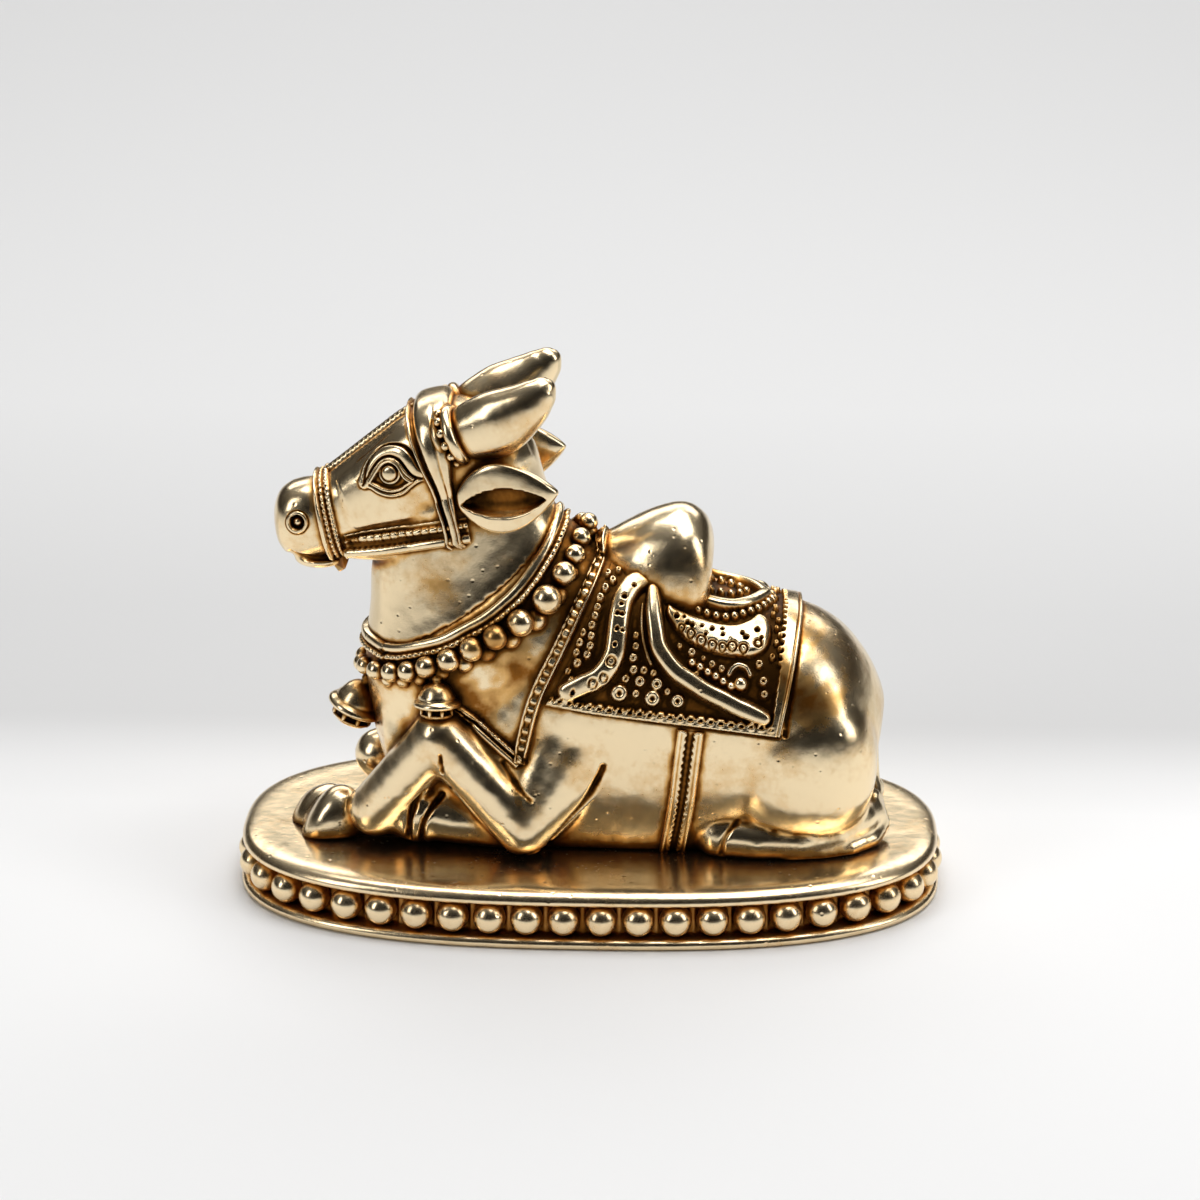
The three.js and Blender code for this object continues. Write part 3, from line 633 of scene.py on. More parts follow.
# The head and upper neck are modelled in the wax with the body and carved before casting: long
# muzzle, lips, nostrils and the large lidded eye. They part from the body under the collar.
# stations as in the trunk
HEAD = [
    (-65.9, 71.7, -65.9, 67, 2, 0.5, 2, 0),
    (-64.8, 74.5, -64.9, 63.4, 5.2, 0.5, 2.2, 0),
    (-62.5, 76.4, -62.6, 61, 6.9, 0.5, 2.4, 0),
    (-59.5, 77.3, -59, 60.4, 7.5, 0.5, 2.4, 0),
    (-56.8, 77.7, -54.5, 61.2, 7.4, 0.5, 2.4, 0),
    (-53.5, 80.0, -49.5, 62.4, 7.9, 0.52, 2.4, 0),
    (-49, 83.6, -44, 63, 9, 0.55, 2.5, 0),
    (-43.5, 88.0, -38, 63.6, 10.2, 0.58, 2.6, 0),
    (-38, 92.2, -31, 65, 11.2, 0.6, 2.6, 0),
    (-32.5, 94.6, -24.5, 68, 11.8, 0.6, 2.5, 0),
    (-26, 94.9, -18, 73, 11.3, 0.55, 2.4, 0),
    (-19, 92.5, -13, 78, 9.5, 0.5, 2.2, 0),
    (-13.5, 88.5, -10.5, 82, 5, 0.5, 2, 0),
]
JAW = [
    (-50.5, 67, -50, 61.2, 7.4, 0.5, 3, 0),
    (-45, 69.5, -43.5, 61.4, 9.4, 0.45, 3.2, 0),
    (-38, 71.5, -36.5, 62.3, 10.7, 0.45, 3.2, 0),
    (-31, 74, -29.5, 64.2, 11.3, 0.45, 3.2, 0),
    (-25, 76, -23.5, 67, 11.2, 0.5, 3, 0),
    (-21, 77, -20.5, 70, 9, 0.5, 2.4, 0),
]
HEAD_GRID = 0.5
LOWER_LIP, LOWER_LIP_SIZE = (-56.6, 0, 60.4), (5.6, 5.6, 2.1)


def roll(gap, half, height):
    """The section of a rounded roll of that half width and height, at a distance from its middle."""
    return height * np.sqrt(np.clip(1 - (gap / half) ** 2, 0, 1))


def fold_between(first, second, share=0.5):
    """A path part of the way from one path to another."""
    a, b = (along(path, np.linspace(0, len(path) - 1, 40)) for path in (first, second))
    return a * (1 - share) + b * share


def inside_path(points, path):
    """Whether points in a plane lie inside a closed path."""
    result = np.zeros(len(points), bool)
    for (ax, az), (bx, bz) in zip(path, np.roll(path, -1, axis=0)):
        crosses = (az > points[:, 1]) != (bz > points[:, 1])
        where = ax + (points[:, 1] - az) / (bz - az + 1e-12) * (bx - ax)
        result ^= crosses & (points[:, 0] < where)
    return result


# lines of the eye, as seen from the side: length and height
BROW_LINE = [
    (-45.7, 72.0), (-44.9, 75.2), (-43.5, 77.5), (-41.5, 79.0), (-39.0, 79.3), (-36.9, 78.6),
    (-35.4, 77.0), (-34.3, 75.2), (-32.8, 74.1),
]
LID_FOLD = [
    (-45.9, 71.2), (-44.8, 73.0), (-43.4, 75.1), (-41.9, 76.5), (-40.1, 76.9), (-38.3, 76.1),
    (-37.0, 74.5), (-35.5, 73.1), (-33.0, 72.6),
]
LID_RIM = [
    (-44.6, 71.7), (-43.1, 73.9), (-41.9, 75.3), (-40.4, 75.9), (-38.9, 75.3), (-38.0, 73.9),
    (-37.3, 72.8), (-35.9, 72.0),
]
LOW_RIM = [
    (-44.6, 71.7), (-43.2, 71.0), (-41.8, 70.4), (-40.2, 70.1), (-38.5, 70.4), (-37.2, 71.2),
    (-35.9, 72.0),
]
LOW_FOLD = [
    (-45.8, 71.1), (-44.3, 70.7), (-43.0, 69.9), (-41.4, 69.3), (-39.6, 69.2), (-37.7, 69.8),
    (-36.4, 70.9), (-34.9, 72.0), (-32.8, 72.9),
]
EYE, EYE_RADIUS, IRIS_RING = (-40.5, 73.6), 1.65, 2.0
CHEEK_PANEL = [
    (-52.3, 72.2), (-49.7, 74.2), (-46.3, 77.0), (-43.0, 79.8), (-39.6, 82.6), (-37.2, 83.8),
    (-35.6, 80.2), (-33.5, 75.6), (-31.8, 71.7), (-30.2, 65.5), (-36.7, 64.1), (-43.3, 63.0),
    (-48.6, 62.3), (-50.4, 66.5),
]
NOSTRIL, NOSTRIL_RADIUS = (-60.4, 63.3), 1.85
MOUTH_LINE = [(-62.6, 57.2), (-60.8, 56.4), (-57.8, 55.9), (-54.8, 56.1), (-52.0, 56.9)]


def face_carving(places):
    """How far the carving stands out from the head at each place; widths and heights in millimetres."""
    look = seen(places)
    side_on = np.clip((np.abs(places[:, 1]) - 2.0) / 1.5, 0, 1)
    relief = np.zeros(len(look))
    eye_gap = np.linalg.norm(look - EYE, axis=1)
    by_eye = eye_gap < 9
    eye_lines = (BROW_LINE, LID_FOLD, LID_RIM, LOW_RIM, LOW_FOLD)
    brow, fold, lid, low, under = (near(look, smooth_path(line, 5))[0] for line in eye_lines)
    bulge = near(look, fold_between(BROW_LINE, LID_FOLD))[0]
    second = near(look, fold_between(LID_FOLD[1:-1], LID_RIM, 0.45))[0]
    opening = inside_path(look, np.vstack([smooth_path(LID_RIM, 5), smooth_path(LOW_RIM, 5)[::-1]]))
    lids = roll(bulge, 1.25, 0.75)
    for gap, half, proud in [(second, 0.42, 0.6), (lid, 0.4, 0.75), (low, 0.36, 0.6), (under, 0.38, 0.4)]:
        lids = np.maximum(lids, roll(gap, half, proud))
    relief += lids + crease(brow, 0.3, 0.7) + crease(fold, 0.22, 0.55)
    relief = np.where(opening & (lid > 0.3) & (low > 0.28), -0.5, relief)
    ring_gap = np.abs(eye_gap - IRIS_RING)
    ring = roll(ring_gap, 0.34, 0.45)
    eye_ball = roll(eye_gap, EYE_RADIUS, 1.25) - 0.12 * np.exp(-((eye_gap / 0.8) ** 4))
    relief = np.where(eye_gap < EYE_RADIUS, np.maximum(relief, -0.15 + eye_ball), relief)
    relief = np.where((ring_gap < 0.36) & opening, np.maximum(relief, -0.3 + ring), relief)
    relief = np.where(by_eye, relief, 0.0)
    outline = along(CHEEK_PANEL, np.linspace(0, len(CHEEK_PANEL) - 1, 120))
    panel_gap = near(look, outline, closed=True)[0]
    inside = inside_path(look, outline)
    relief += np.where(inside, 0.4 * np.clip(panel_gap / 0.5, 0, 1), 0.0)
    nose_gap = np.linalg.norm(look - NOSTRIL, axis=1)
    hole = np.where(nose_gap < NOSTRIL_RADIUS - 0.25, -1.5, 0.0)
    hole += roll(np.abs(nose_gap - NOSTRIL_RADIUS), 0.45, 0.4)
    hole = np.where(nose_gap < 1.15, np.maximum(hole, -1.4 + roll(nose_gap, 1.15, 1.3)), hole)
    relief = np.where(nose_gap < NOSTRIL_RADIUS + 0.6, hole, relief)
    mouth = near(look, smooth_path(MOUTH_LINE, 5))[0]
    return relief * side_on + crease(mouth, 0.45, 1.1)


mould = bmesh.new()
loft(mould, HEAD, 0, 12, 72, 80)
loft(mould, JAW, 0, 5, 72, 40)
loft(mould, NECK, 2.9, 7, 72, 50)
egg(mould, LOWER_LIP, LOWER_LIP_SIZE)
mould = run_together(mould, HEAD_GRID, EASING)
head_skin = BVHTree.FromBMesh(mould)
# the skin is made finer where the eyes and nostrils are carved
for centre, reach in [(EYE, 7.6), (EYE, 7.0), (NOSTRIL, 3.4), (NOSTRIL, 3.0)]:
    middles = np.array([edge.verts[0].co + edge.verts[1].co for edge in mould.edges]) / 2
    close = (np.linalg.norm(seen(middles) - centre, axis=1) < reach) & (np.abs(middles[:, 1]) > 3)
    picked = [edge for edge, chosen in zip(mould.edges, close) if chosen]
    bmesh.ops.subdivide_edges(mould, edges=picked, cuts=1, use_grid_fill=True)
mould.normal_update()
places = spots(mould)
outward = np.array([vert.normal for vert in mould.verts])
move(mould.verts, places + outward * face_carving(places)[:, None])
to_row(mould)
head = finish(mould, "bull_head", bull_brass)

# The horns are plain, curved back and up to blunt points. Each stands in two moulded rings at its
# root, with a row of small knobs in the groove between them, and is cast with the head.
# each ring: x, y, z, half height, half width
HORN = [
    (-28, -7, 88.6, 4.4, 4.2),
    (-24, -8.2, 90.4, 6.2, 5.2),
    (-18, -9.8, 93.2, 6.9, 5.4),
    (-13, -10.8, 96.6, 5.4, 4.4),
    (-9.9, -10.9, 99.4, 3.9, 3.3),
    (-8.4, -10.8, 101.1, 2.7, 2.4),
    (-7.6, -10.8, 102.0, 1.6, 1.5),
    (-7.3, -10.8, 102.4, 0.5, 0.5),
]
HORN_RINGS = [((-29.3, -7.5, 88.6), 4.9, 1.2), ((-26.7, -8.2, 89.8), 5.4, 1.25)]
HORN_KNOBS, HORN_KNOB_RADIUS, KNOB_CIRCLE = 14, 0.95, 5.9
HORN_LEAN, HORN_SPREAD = 0.42, -0.12
AROUND_HORN, ROWS_HORN = 48, 48


def both_sides(mould):
    """Adds the same shapes on the far side."""
    shapes = mould.verts[:] + mould.edges[:] + mould.faces[:]
    bmesh.ops.mirror(mould, geom=shapes, axis="Y", merge_dist=0.0001)


def spin_round(mould, profile, steps):
    """Spins a profile once round the upright axis and closes the seam."""
    full = 2 * math.pi
    centre, upright = (0, 0, 0), (0, 0, 1)
    bmesh.ops.spin(
        mould, geom=profile, cent=centre, axis=upright, dvec=centre, angle=full, steps=steps, use_merge=True
    )


def hoop(mould, centre, along_way, radius, thick, around=40, section=14):
    """A round bar bent into a ring about a direction."""
    turn = Vector(along_way).to_track_quat("Z", "Y").to_matrix()
    loop = bmesh.new()
    circle = bmesh.ops.create_circle(loop, segments=section, radius=thick)["verts"]
    for vert in circle:
        vert.co = Vector((radius + vert.co.x, 0, vert.co.y))
    spin_round(loop, loop.verts[:] + loop.edges[:], around)
    for vert in loop.verts:
        vert.co = Vector(centre) + turn @ vert.co
    append(mould, loop)


mould = bmesh.new()
verts = ball(mould, AROUND_HORN, ROWS_HORN)
round_places = spots(mould, verts)
ring = np.round(np.arccos(np.clip(round_places[:, 2], -1, 1)) / np.pi * ROWS_HORN)
t = np.clip((ring - 1) / (ROWS_HORN - 2), 0, 1) * (len(HORN) - 1)
row = along(HORN, t)
ahead = along(HORN, t + 0.05) - along(HORN, t - 0.05)
way = ahead[:, :3] / np.linalg.norm(ahead[:, :3], axis=1)[:, None]
across = np.cross(way, [0, 1, 0])
across /= np.linalg.norm(across, axis=1)[:, None]
out = np.cross(across, way)
angle = np.arctan2(round_places[:, 1], round_places[:, 0])
open_ring = ((ring > 0.5) & (ring < ROWS_HORN - 0.5)).astype(float)
tall = across * (np.cos(angle) * row[:, 3] * open_ring)[:, None]
wide = out * (np.sin(angle) * row[:, 4] * open_ring)[:, None]
move(verts, row[:, :3] + tall + wide)
horn_way = Vector((math.cos(HORN_LEAN), HORN_SPREAD, math.sin(HORN_LEAN)))
for centre, radius, thick in HORN_RINGS:
    hoop(mould, centre, horn_way, radius, thick)
# small knobs sit in the groove between the two rings
ring_turn = horn_way.to_track_quat("Z", "Y").to_matrix()
groove = (np.array(HORN_RINGS[0][0]) + np.array(HORN_RINGS[1][0])) / 2
for k in range(HORN_KNOBS):
    turn_to = 2 * math.pi * k / HORN_KNOBS
    seat = ring_turn @ Vector((math.cos(turn_to), math.sin(turn_to), 0)) * KNOB_CIRCLE
    knob = ball(mould, 14, 10)
    move(knob, spots(mould, knob) * HORN_KNOB_RADIUS + groove + np.array(seat))
both_sides(mould)
to_row(mould)
horns = finish(mould, "horns", bull_brass)

# Each ear is a pointed leaf with a rolled rim and an almond hollow, cast with the head behind the
# brow band and turned out to the side.
EAR_ROOT, EAR_TIP = np.array([-27.0, -11.5, 77.0]), np.array([-5.6, -15.6, 80.2])
EAR_HALF, EAR_BOW, EAR_BACK = 7.4, 1.2, 1.9
EAR_RIM, EAR_HOLLOW = 1.7, 2.6
# the hollow's start and length along the ear, its half width, and how far it lies below the middle
HOLLOW_START, HOLLOW_LENGTH, HOLLOW_HALF, HOLLOW_DROP = 0.07, 0.82, 3.2, 0.85


def mark_sunk(piece, depth):
    """Notes on a piece's vertices how deep they lie in a hollow, for the patina and painted shade."""
    layer = piece.data.attributes.new("sunk", "FLOAT", "POINT")
    layer.data.foreach_set("value", depth.astype(np.float32))


mould = bmesh.new()
verts = ball(mould, 120, 90)
round_places = spots(mould, verts)
share = np.arccos(np.clip(round_places[:, 2], -1, 1)) / np.pi
angle = np.arctan2(round_places[:, 1], round_places[:, 0])
axis = EAR_TIP - EAR_ROOT
length = np.linalg.norm(axis)
axis /= length
lift = np.array([0, 0, 1.0]) - axis[2] * axis
lift /= np.linalg.norm(lift)
outwards = np.cross(lift, axis)
outwards *= -np.sign(outwards[1])
half = EAR_HALF * np.sin(np.pi * np.clip(share, 0, 1) ** 0.85) ** 0.8
half = np.where((share < 0.001) | (share > 0.999), 0, half)
up, front = np.cos(angle), np.sin(angle)
height_on = up * half
hollow_at = (share - HOLLOW_START) / HOLLOW_LENGTH
hollow_half = HOLLOW_HALF * np.clip(np.sin(np.pi * np.clip(hollow_at, 0, 1)), 0, 1) ** 0.75
hollow_gap = np.abs(height_on + HOLLOW_DROP) / np.maximum(hollow_half, 0.05)
inside = np.clip(1 - hollow_gap**2, 0, 1)
steep = np.where(height_on > -HOLLOW_DROP, 0.3, 0.8)
cup = np.where((hollow_at > 0) & (hollow_at < 1), EAR_HOLLOW * inside**steep, 0.0)
rim = EAR_RIM * np.clip(front, 0, 1) ** 0.5 * np.clip(half / 2.5, 0, 1) ** 0.5
offset = np.where(front > 0, rim - cup, EAR_BACK * front * np.clip(half / 4, 0, 1) ** 0.5)
bow = EAR_BOW * np.sin(np.pi * share)
leaf = EAR_ROOT + axis * (share * length)[:, None] + lift * height_on[:, None]
leaf += outwards * (offset + bow)[:, None]
move(verts, leaf)
both_sides(mould)
to_row(mould)
ears = finish(mould, "ears", bull_brass)
# the ears' hollows are darkened by their depth, as patina and painted shade
mark_sunk(ears, np.tile(np.clip(cup / EAR_HOLLOW, 0, 1), 2))


# The bridle is raised work on the head: a roped noseband, on each cheek two notched ridges with a
# sunk channel between them, a studded bar up the face, and a brow band with a raised front edge.
# A strap's section gives its height from the distance run and the distance across it.
def on_side(path, skin):
    """Points on the near side of a skin, from real lengths and heights."""
    hits = [skin.ray_cast(Vector((x, -200, z)), Vector((0, 1, 0)))[0] for x, z in path]
    return np.array([hit for hit in hits if hit is not None], dtype=float)


def evenly(route, step):
    """A route's points at equal steps, with the distance run."""
    run = np.concatenate([[0], np.cumsum(np.linalg.norm(np.diff(route, axis=0), axis=1))])
    count = max(int(run[-1] / step), 4)
    steps = np.linspace(0, run[-1], count + 1)
    return np.stack([np.interp(steps, run, route[:, k]) for k in range(3)], -1), steps


def strap(mould, route, skin, half, section, step=0.28, columns=22, sunk=1.0, loop=False):
    """Raised work along a route on a skin: section(run, across) is its height, and its back is sunk."""
    line, run = evenly(np.asarray(route, float), step)
    _, normal = hug(line, skin)
    if loop:
        ways = np.roll(line[:-1], -1, axis=0) - np.roll(line[:-1], 1, axis=0)
        ways = np.vstack([ways, ways[:1]])
    else:
        ways = np.gradient(line, axis=0)
    left = np.cross(normal, ways)
    left /= np.linalg.norm(left, axis=1)[:, None]
    halves = half(run) if callable(half) else np.full(len(run), float(half))
    spread = np.linspace(-1, 1, columns + 1)
    spread = np.concatenate([spread, [0.0, -1.0]])
    rows = len(run) - 1
    work = bmesh.new()
    bmesh.ops.create_grid(work, x_segments=rows, y_segments=len(spread) - 1, size=1)
    flat = spots(work)
    i = np.round((flat[:, 0] + 1) / 2 * rows).astype(int)
    j = np.round((flat[:, 1] + 1) / 2 * (len(spread) - 1)).astype(int)
    offset = halves[i] * spread[j]
    base, direction = hug(line[i] + left[i] * offset[:, None], skin)
    height = section(run[i], offset)
    rim = (j == 0) | (j >= columns)
    height = np.where(rim, -sunk, height)
    height = np.where(j == columns + 1, -sunk - 0.8, height)
    direction = np.where(rim[:, None], normal[i], direction)
    move(work.verts, base + direction * height[:, None])
    bmesh.ops.remove_doubles(work, verts=work.verts, dist=0.004)
    if not loop:
        bmesh.ops.holes_fill(work, edges=work.edges, sides=0)
    append(mould, work)


def noseband_section(run, across):
    smooth = roll(across - 1.3, 0.8, 1.65)
    links = roll(across - 0.05, 0.6, 1.25)
    links *= 0.7 + 0.3 * np.clip(1.6 * np.sin(np.pi * run / 1.25) ** 2, 0, 1)
    cord = roll(across + 1.25, 0.62, 1.15)
    cord *= 0.82 + 0.18 * np.cos(2 * np.pi * (run / 1.05 + across * 0.4))
    return np.maximum(np.maximum(smooth, np.maximum(links, cord)), 0.1)


def cheek_section(run, across):
    blocks = np.clip(2.2 * np.abs(np.sin(np.pi * run / 1.75)), 0, 1)
    upper = roll(across - 1.15, 0.85, 1.45) * (0.55 + 0.45 * blocks)
    scallops = 0.5 + 0.5 * np.cos(2 * np.pi * run / 1.3)
    edge = -0.95 + 0.35 * scallops
    lower = np.where(across < edge, roll(across + 1.75, 1.2, 1.35), 0.0)
    plate = np.where(np.abs(across) < 2.75, 0.25, 0.0)
    return np.maximum(np.maximum(upper, lower), plate)


def rope_section(run, across):
    studs = 0.22 * np.clip(np.cos(2 * np.pi * run / 1.2), 0, 1)
    studs *= np.exp(-(((np.abs(across) - 1.0) / 0.28) ** 2))
    return roll(across, 1.35, 1.0) + studs


# shares of the brow band's length, and its half width there
BROW_WIDTHS = [(0, 5.0), (0.08, 4.9), (0.14, 4.5), (0.2, 3.5), (0.26, 2.5), (0.36, 1.7), (0.5, 1.5)]


def from_crown(run):
    """Share of the brow band's length from the crown of the head, on either side."""
    return np.minimum(run, run[-1] - run) / run[-1]


def brow_half(run):
    return np.interp(from_crown(run), *zip(*BROW_WIDTHS))


def brow_section(run, across):
    half = brow_half(run)
    front = roll(across - half + 0.55, 0.5, 1.6)
    inner = across < half - 1.25
    from_middle = np.abs(across + 0.625) / (half - 0.62)
    band = np.where(inner, 2.0 * (1 - np.clip(from_middle, 0, 1) ** 5), 0.0)
    seam = crease(across + 0.9, 0.14, 0.35) * np.clip((from_crown(run) - 0.06) / 0.05, 0, 1)
    return np.maximum(np.maximum(front, band), 0.1) + np.where(inner, seam, 0)


FULL_TURN = np.linspace(0, 2 * np.pi, 241)
# places along the head's stations
NOSEBAND_AT, FACE_BAR, BROW_AT, BROW_LEAN = 4.42, (4.6, 8.6), 8.78, 0.15
CHEEK_ROUTE = [(-50.2, 58.8), (-45.5, 59.1), (-41.0, 59.6), (-35.0, 60.5), (-29.0, 61.4), (-24.4, 62.2)]
mould = bmesh.new()
strap(mould, drape(smooth_path(CHEEK_ROUTE), head_skin), head_skin, 2.9, cheek_section, step=0.2, columns=30)
both_sides(mould)
nose_line = on_form(HEAD, NOSEBAND_AT, FULL_TURN)
strap(mould, nose_line, head_skin, 1.95, noseband_section, step=0.2, columns=20, loop=True)
face_line = on_form(HEAD, np.linspace(*FACE_BAR, 120), 0.0)
strap(mould, face_line, head_skin, 1.6, rope_section, step=0.22, columns=16)
brow_line = on_form(HEAD, BROW_AT + BROW_LEAN * np.cos(FULL_TURN), FULL_TURN)
strap(mould, brow_line, head_skin, brow_half, brow_section, step=0.3, columns=30, loop=True)
to_row(mould)
bridle = finish(mould, "bridle", bull_brass)

# The collar is a plain rolled band with a notched ridge below it. Under it hangs a string of cast
# beads, largest over the shoulder, and a smaller string behind shows between them.
COLLAR = [
    (-5.9, 64.7), (-8.1, 58.0), (-13.1, 49.9), (-19.4, 44.0), (-24.2, 41.1), (-29.4, 38.5), (-34.6, 37.2),
    (-39.4, 36.5), (-43.0, 37.0),
]
COLLAR_NAPE, COLLAR_CHEST = (-5.4, 0, 71.4), (-48.6, 0, 42.0)
COLLAR_HALF = 2.1
# the collar lies on a softer joint of neck and trunk than the body's own
NECK_GRID, NECK_EASING = 1.0, 9
# each bead: length and height as seen from the side, radius
BEAD_STRING = [
    (-0.9, 63.6, 1.9), (-2.3, 60.4, 2.0), (-3.2, 57.0, 2.1), (-5.2, 53.2, 2.45), (-8.4, 48.0, 2.95),
    (-13.6, 43.3, 2.7), (-18.6, 40.3, 2.5), (-23.4, 37.8, 2.42), (-28.2, 35.4, 2.36), (-32.7, 33.9, 2.26),
    (-36.6, 32.9, 2.12), (-40.2, 32.6, 2.02), (-43.5, 32.9, 1.95),
]
CHEST_BEADS = [
    (-47.0, -6.4, 38.2, 1.9), (-48.6, -2.2, 37.2, 1.9), (-48.6, 2.2, 37.2, 1.9), (-47.0, 6.4, 38.2, 1.9),
]
NAPE_BEAD = (0.6, 0, 67.4, 1.9)
# the large beads are a little bigger than the radius above, and a bead's middle stands half a radius
# out of the skin; the small beads take their radius from their two neighbours and hang lower
BEAD_GROWN, BEAD_OUT = 1.06, 0.5
SMALL_BEAD, SMALL_BEAD_DROP = 0.43, [0.5, 0, -1.9]


def collar_section(run, across):
    smooth = 0.45 + roll(across + 1.0, 1.15, 0.95)
    notches = 0.62 + 0.38 * np.clip(1.5 * np.sin(np.pi * run / 1.35) ** 2, 0, 1)
    ridge = 0.45 + roll(across - 1.0, 0.75, 1.2) * notches
    return np.where(across < 0.1, smooth, ridge)


mould = bmesh.new()
loft(mould, TRUNK, 0, 13, 96, 90)
loft(mould, NECK, 0, 7, 96, 60)
neck_form = run_together(mould, NECK_GRID, NECK_EASING)
neck_skin = BVHTree.FromBMesh(neck_form)
neck_form.free()
mould = bmesh.new()
near_collar = drape(smooth_path(COLLAR), neck_skin)
far_collar = (near_collar * [1, -1, 1])[::-1]
collar_line = np.vstack([[COLLAR_NAPE], near_collar, [COLLAR_CHEST], far_collar, [COLLAR_NAPE]])[::4]
collar_line = along(collar_line, np.linspace(0, len(collar_line) - 1, 400))
collar_line[-1] = collar_line[0]
collar_line, _ = hug(collar_line, neck_skin)
strap(mould, collar_line, neck_skin, COLLAR_HALF, collar_section, columns=22, loop=True, sunk=1.6)
seats = drape([(x, w) for x, w, _ in BEAD_STRING], neck_skin)
_, seat_ways = hug(seats, neck_skin)
for side_of in (1, -1):
    for (_, _, radius), seat, seat_way in zip(BEAD_STRING, seats, seat_ways):
        bead = ball(mould, 28, 18)
        radius *= BEAD_GROWN
        centre = (seat + seat_way * radius * BEAD_OUT) * [1, side_of, 1]
        move(bead, spots(mould, bead) * radius + centre)
    # the smaller string behind shows only between the large beads, a little lower
    for k in range(len(seats) - 1):
        bead = ball(mould, 22, 14)
        radius = SMALL_BEAD * (BEAD_STRING[k][2] + BEAD_STRING[k + 1][2])
        seat = (seats[k] + seats[k + 1]) / 2 + seat_ways[k] * 0.1 + SMALL_BEAD_DROP
        move(bead, spots(mould, bead) * radius + seat * [1, side_of, 1])
for x, y, z, radius in CHEST_BEADS + [NAPE_BEAD]:
    bead = ball(mould, 28, 18)
    seat, seat_way = hug([(x, y, z)], neck_skin)
    move(bead, spots(mould, bead) * radius + seat[0] + seat_way[0] * radius * BEAD_OUT)
to_row(mould)
necklace = finish(mould, "collar_and_necklace", bull_brass)

# Three small open bells hang on the chest strap, one in front and one at each shoulder. Each is
# turned in the wax: a flared mouth with a rolled lip, a rib, a shoulder and a small crown.
# radius and height, from inside the mouth up to the crown
BELL = [
    (0.0, -1.3), (1.5, -1.4), (2.7, -1.15), (3.4, -0.55), (3.35, -0.25), (2.5, -0.6), (2.1, 0.0),
    (2.2, 1.0), (3.6, 1.0), (4.4, 1.05), (4.75, 1.35), (4.75, 1.75), (4.35, 2.2), (3.85, 2.5), (3.7, 2.75),
    (3.75, 3.0), (3.4, 3.5), (3.15, 4.1), (2.65, 4.95), (1.9, 5.6), (1.1, 5.95), (0.85, 6.2), (1.05, 6.7),
    (0.9, 7.3), (0.4, 7.7), (0.0, 7.75),
]
# each bell: place, size, lean to the front, tilt to the side
BELLS = [
    ((-30.9, -19.0, 33.2), 1.05, 0.0, 0.12),
    ((-30.9, 19.0, 33.2), 1.05, 0.0, -0.12),
    ((-50.5, -1.5, 25.2), 1.3, 0.4, 0.0),
]
BELL_BARS, BAR_CIRCLE, BAR_HEIGHT, BAR_SIZE = 8, 3.1, 0.3, [0.42, 0.42, 1.2]
mould = bmesh.new()
for place, size, lean, tilt in BELLS:
    bell = bmesh.new()
    edge = [bell.verts.new((radius, 0, height)) for radius, height in BELL]
    edges = [bell.edges.new(pair) for pair in zip(edge[:-1], edge[1:])]
    spin_round(bell, edge + edges, 44)
    bmesh.ops.remove_doubles(bell, verts=bell.verts, dist=0.001)
    for k in range(BELL_BARS):
        bar = ball(bell, 10, 8)
        turn_to = 2 * math.pi * (k + 0.5) / BELL_BARS
        post = np.array([BAR_CIRCLE * math.cos(turn_to), BAR_CIRCLE * math.sin(turn_to), BAR_HEIGHT])
        move(bar, spots(bell, bar) * BAR_SIZE + post)
    co = spots(bell) * size
    x = co[:, 0] * math.cos(lean) + co[:, 2] * math.sin(lean)
    z = co[:, 2] * math.cos(lean) - co[:, 0] * math.sin(lean)
    y = co[:, 1] * math.cos(tilt) + z * math.sin(tilt)
    z = z * math.cos(tilt) - co[:, 1] * math.sin(tilt)
    move(bell.verts, np.column_stack([x, y, z]) + np.array(place))
    append(mould, bell)
to_row(mould)
bells = finish(mould, "bells", bull_brass)

# The harness is raised work on the body: a strap down each shoulder, a short one that meets it in a
# point at the chest, and a girth of two serrated bands with a sunk channel between them.
SHOULDER_ROUTE = [
    (2.6, 64.0), (2.1, 62.1), (-1.5, 55.0), (-5.4, 47.0), (-10.4, 36.5), (-12.6, 28.5), (-13.7, 22.4),
]
CHEST_ROUTE = [(-28.5, 34.6), (-21.5, 29.0), (-13.6, 22.6)]
GIRTH_ROUTE = [(21.8, 30.9), (21.0, 24.0), (19.9, 14.0), (18.7, 6.0), (18.0, 1.0)]


def shoulder_section(run, across):
    rails = roll(np.abs(across) - 1.12, 0.38, 1.35)
    marks = 0.16 * np.clip(3 * np.sin(np.pi * run / 1.1 + 0.9 * np.sin(run * 0.9)), -1, 1)
    bed = np.where(np.abs(across) < 1.1, 1.0, 0.0)
    return np.maximum(rails, bed + np.where(np.abs(across) < 0.62, marks, 0.0))


def chest_section(run, across):
    return np.maximum(roll(across - 0.75, 0.75, 1.3), roll(across + 0.8, 0.7, 0.9))


def girth_section(run, across):
    teeth = np.clip(1.6 * np.abs(np.mod(run / 1.5, 1.0) - 0.5), 0, 1)
    inner = 0.6 + 0.55 * teeth
    strips = np.where(np.abs(across) > inner, 1.1, 0.0)
    strips *= (1 - np.clip((np.abs(across) - 2.1) / 0.75, 0, 1) ** 2) ** 0.5
    rails = roll(np.abs(across) - 2.2, 0.5, 1.35)
    return np.maximum(np.maximum(strips, rails), 0.05)


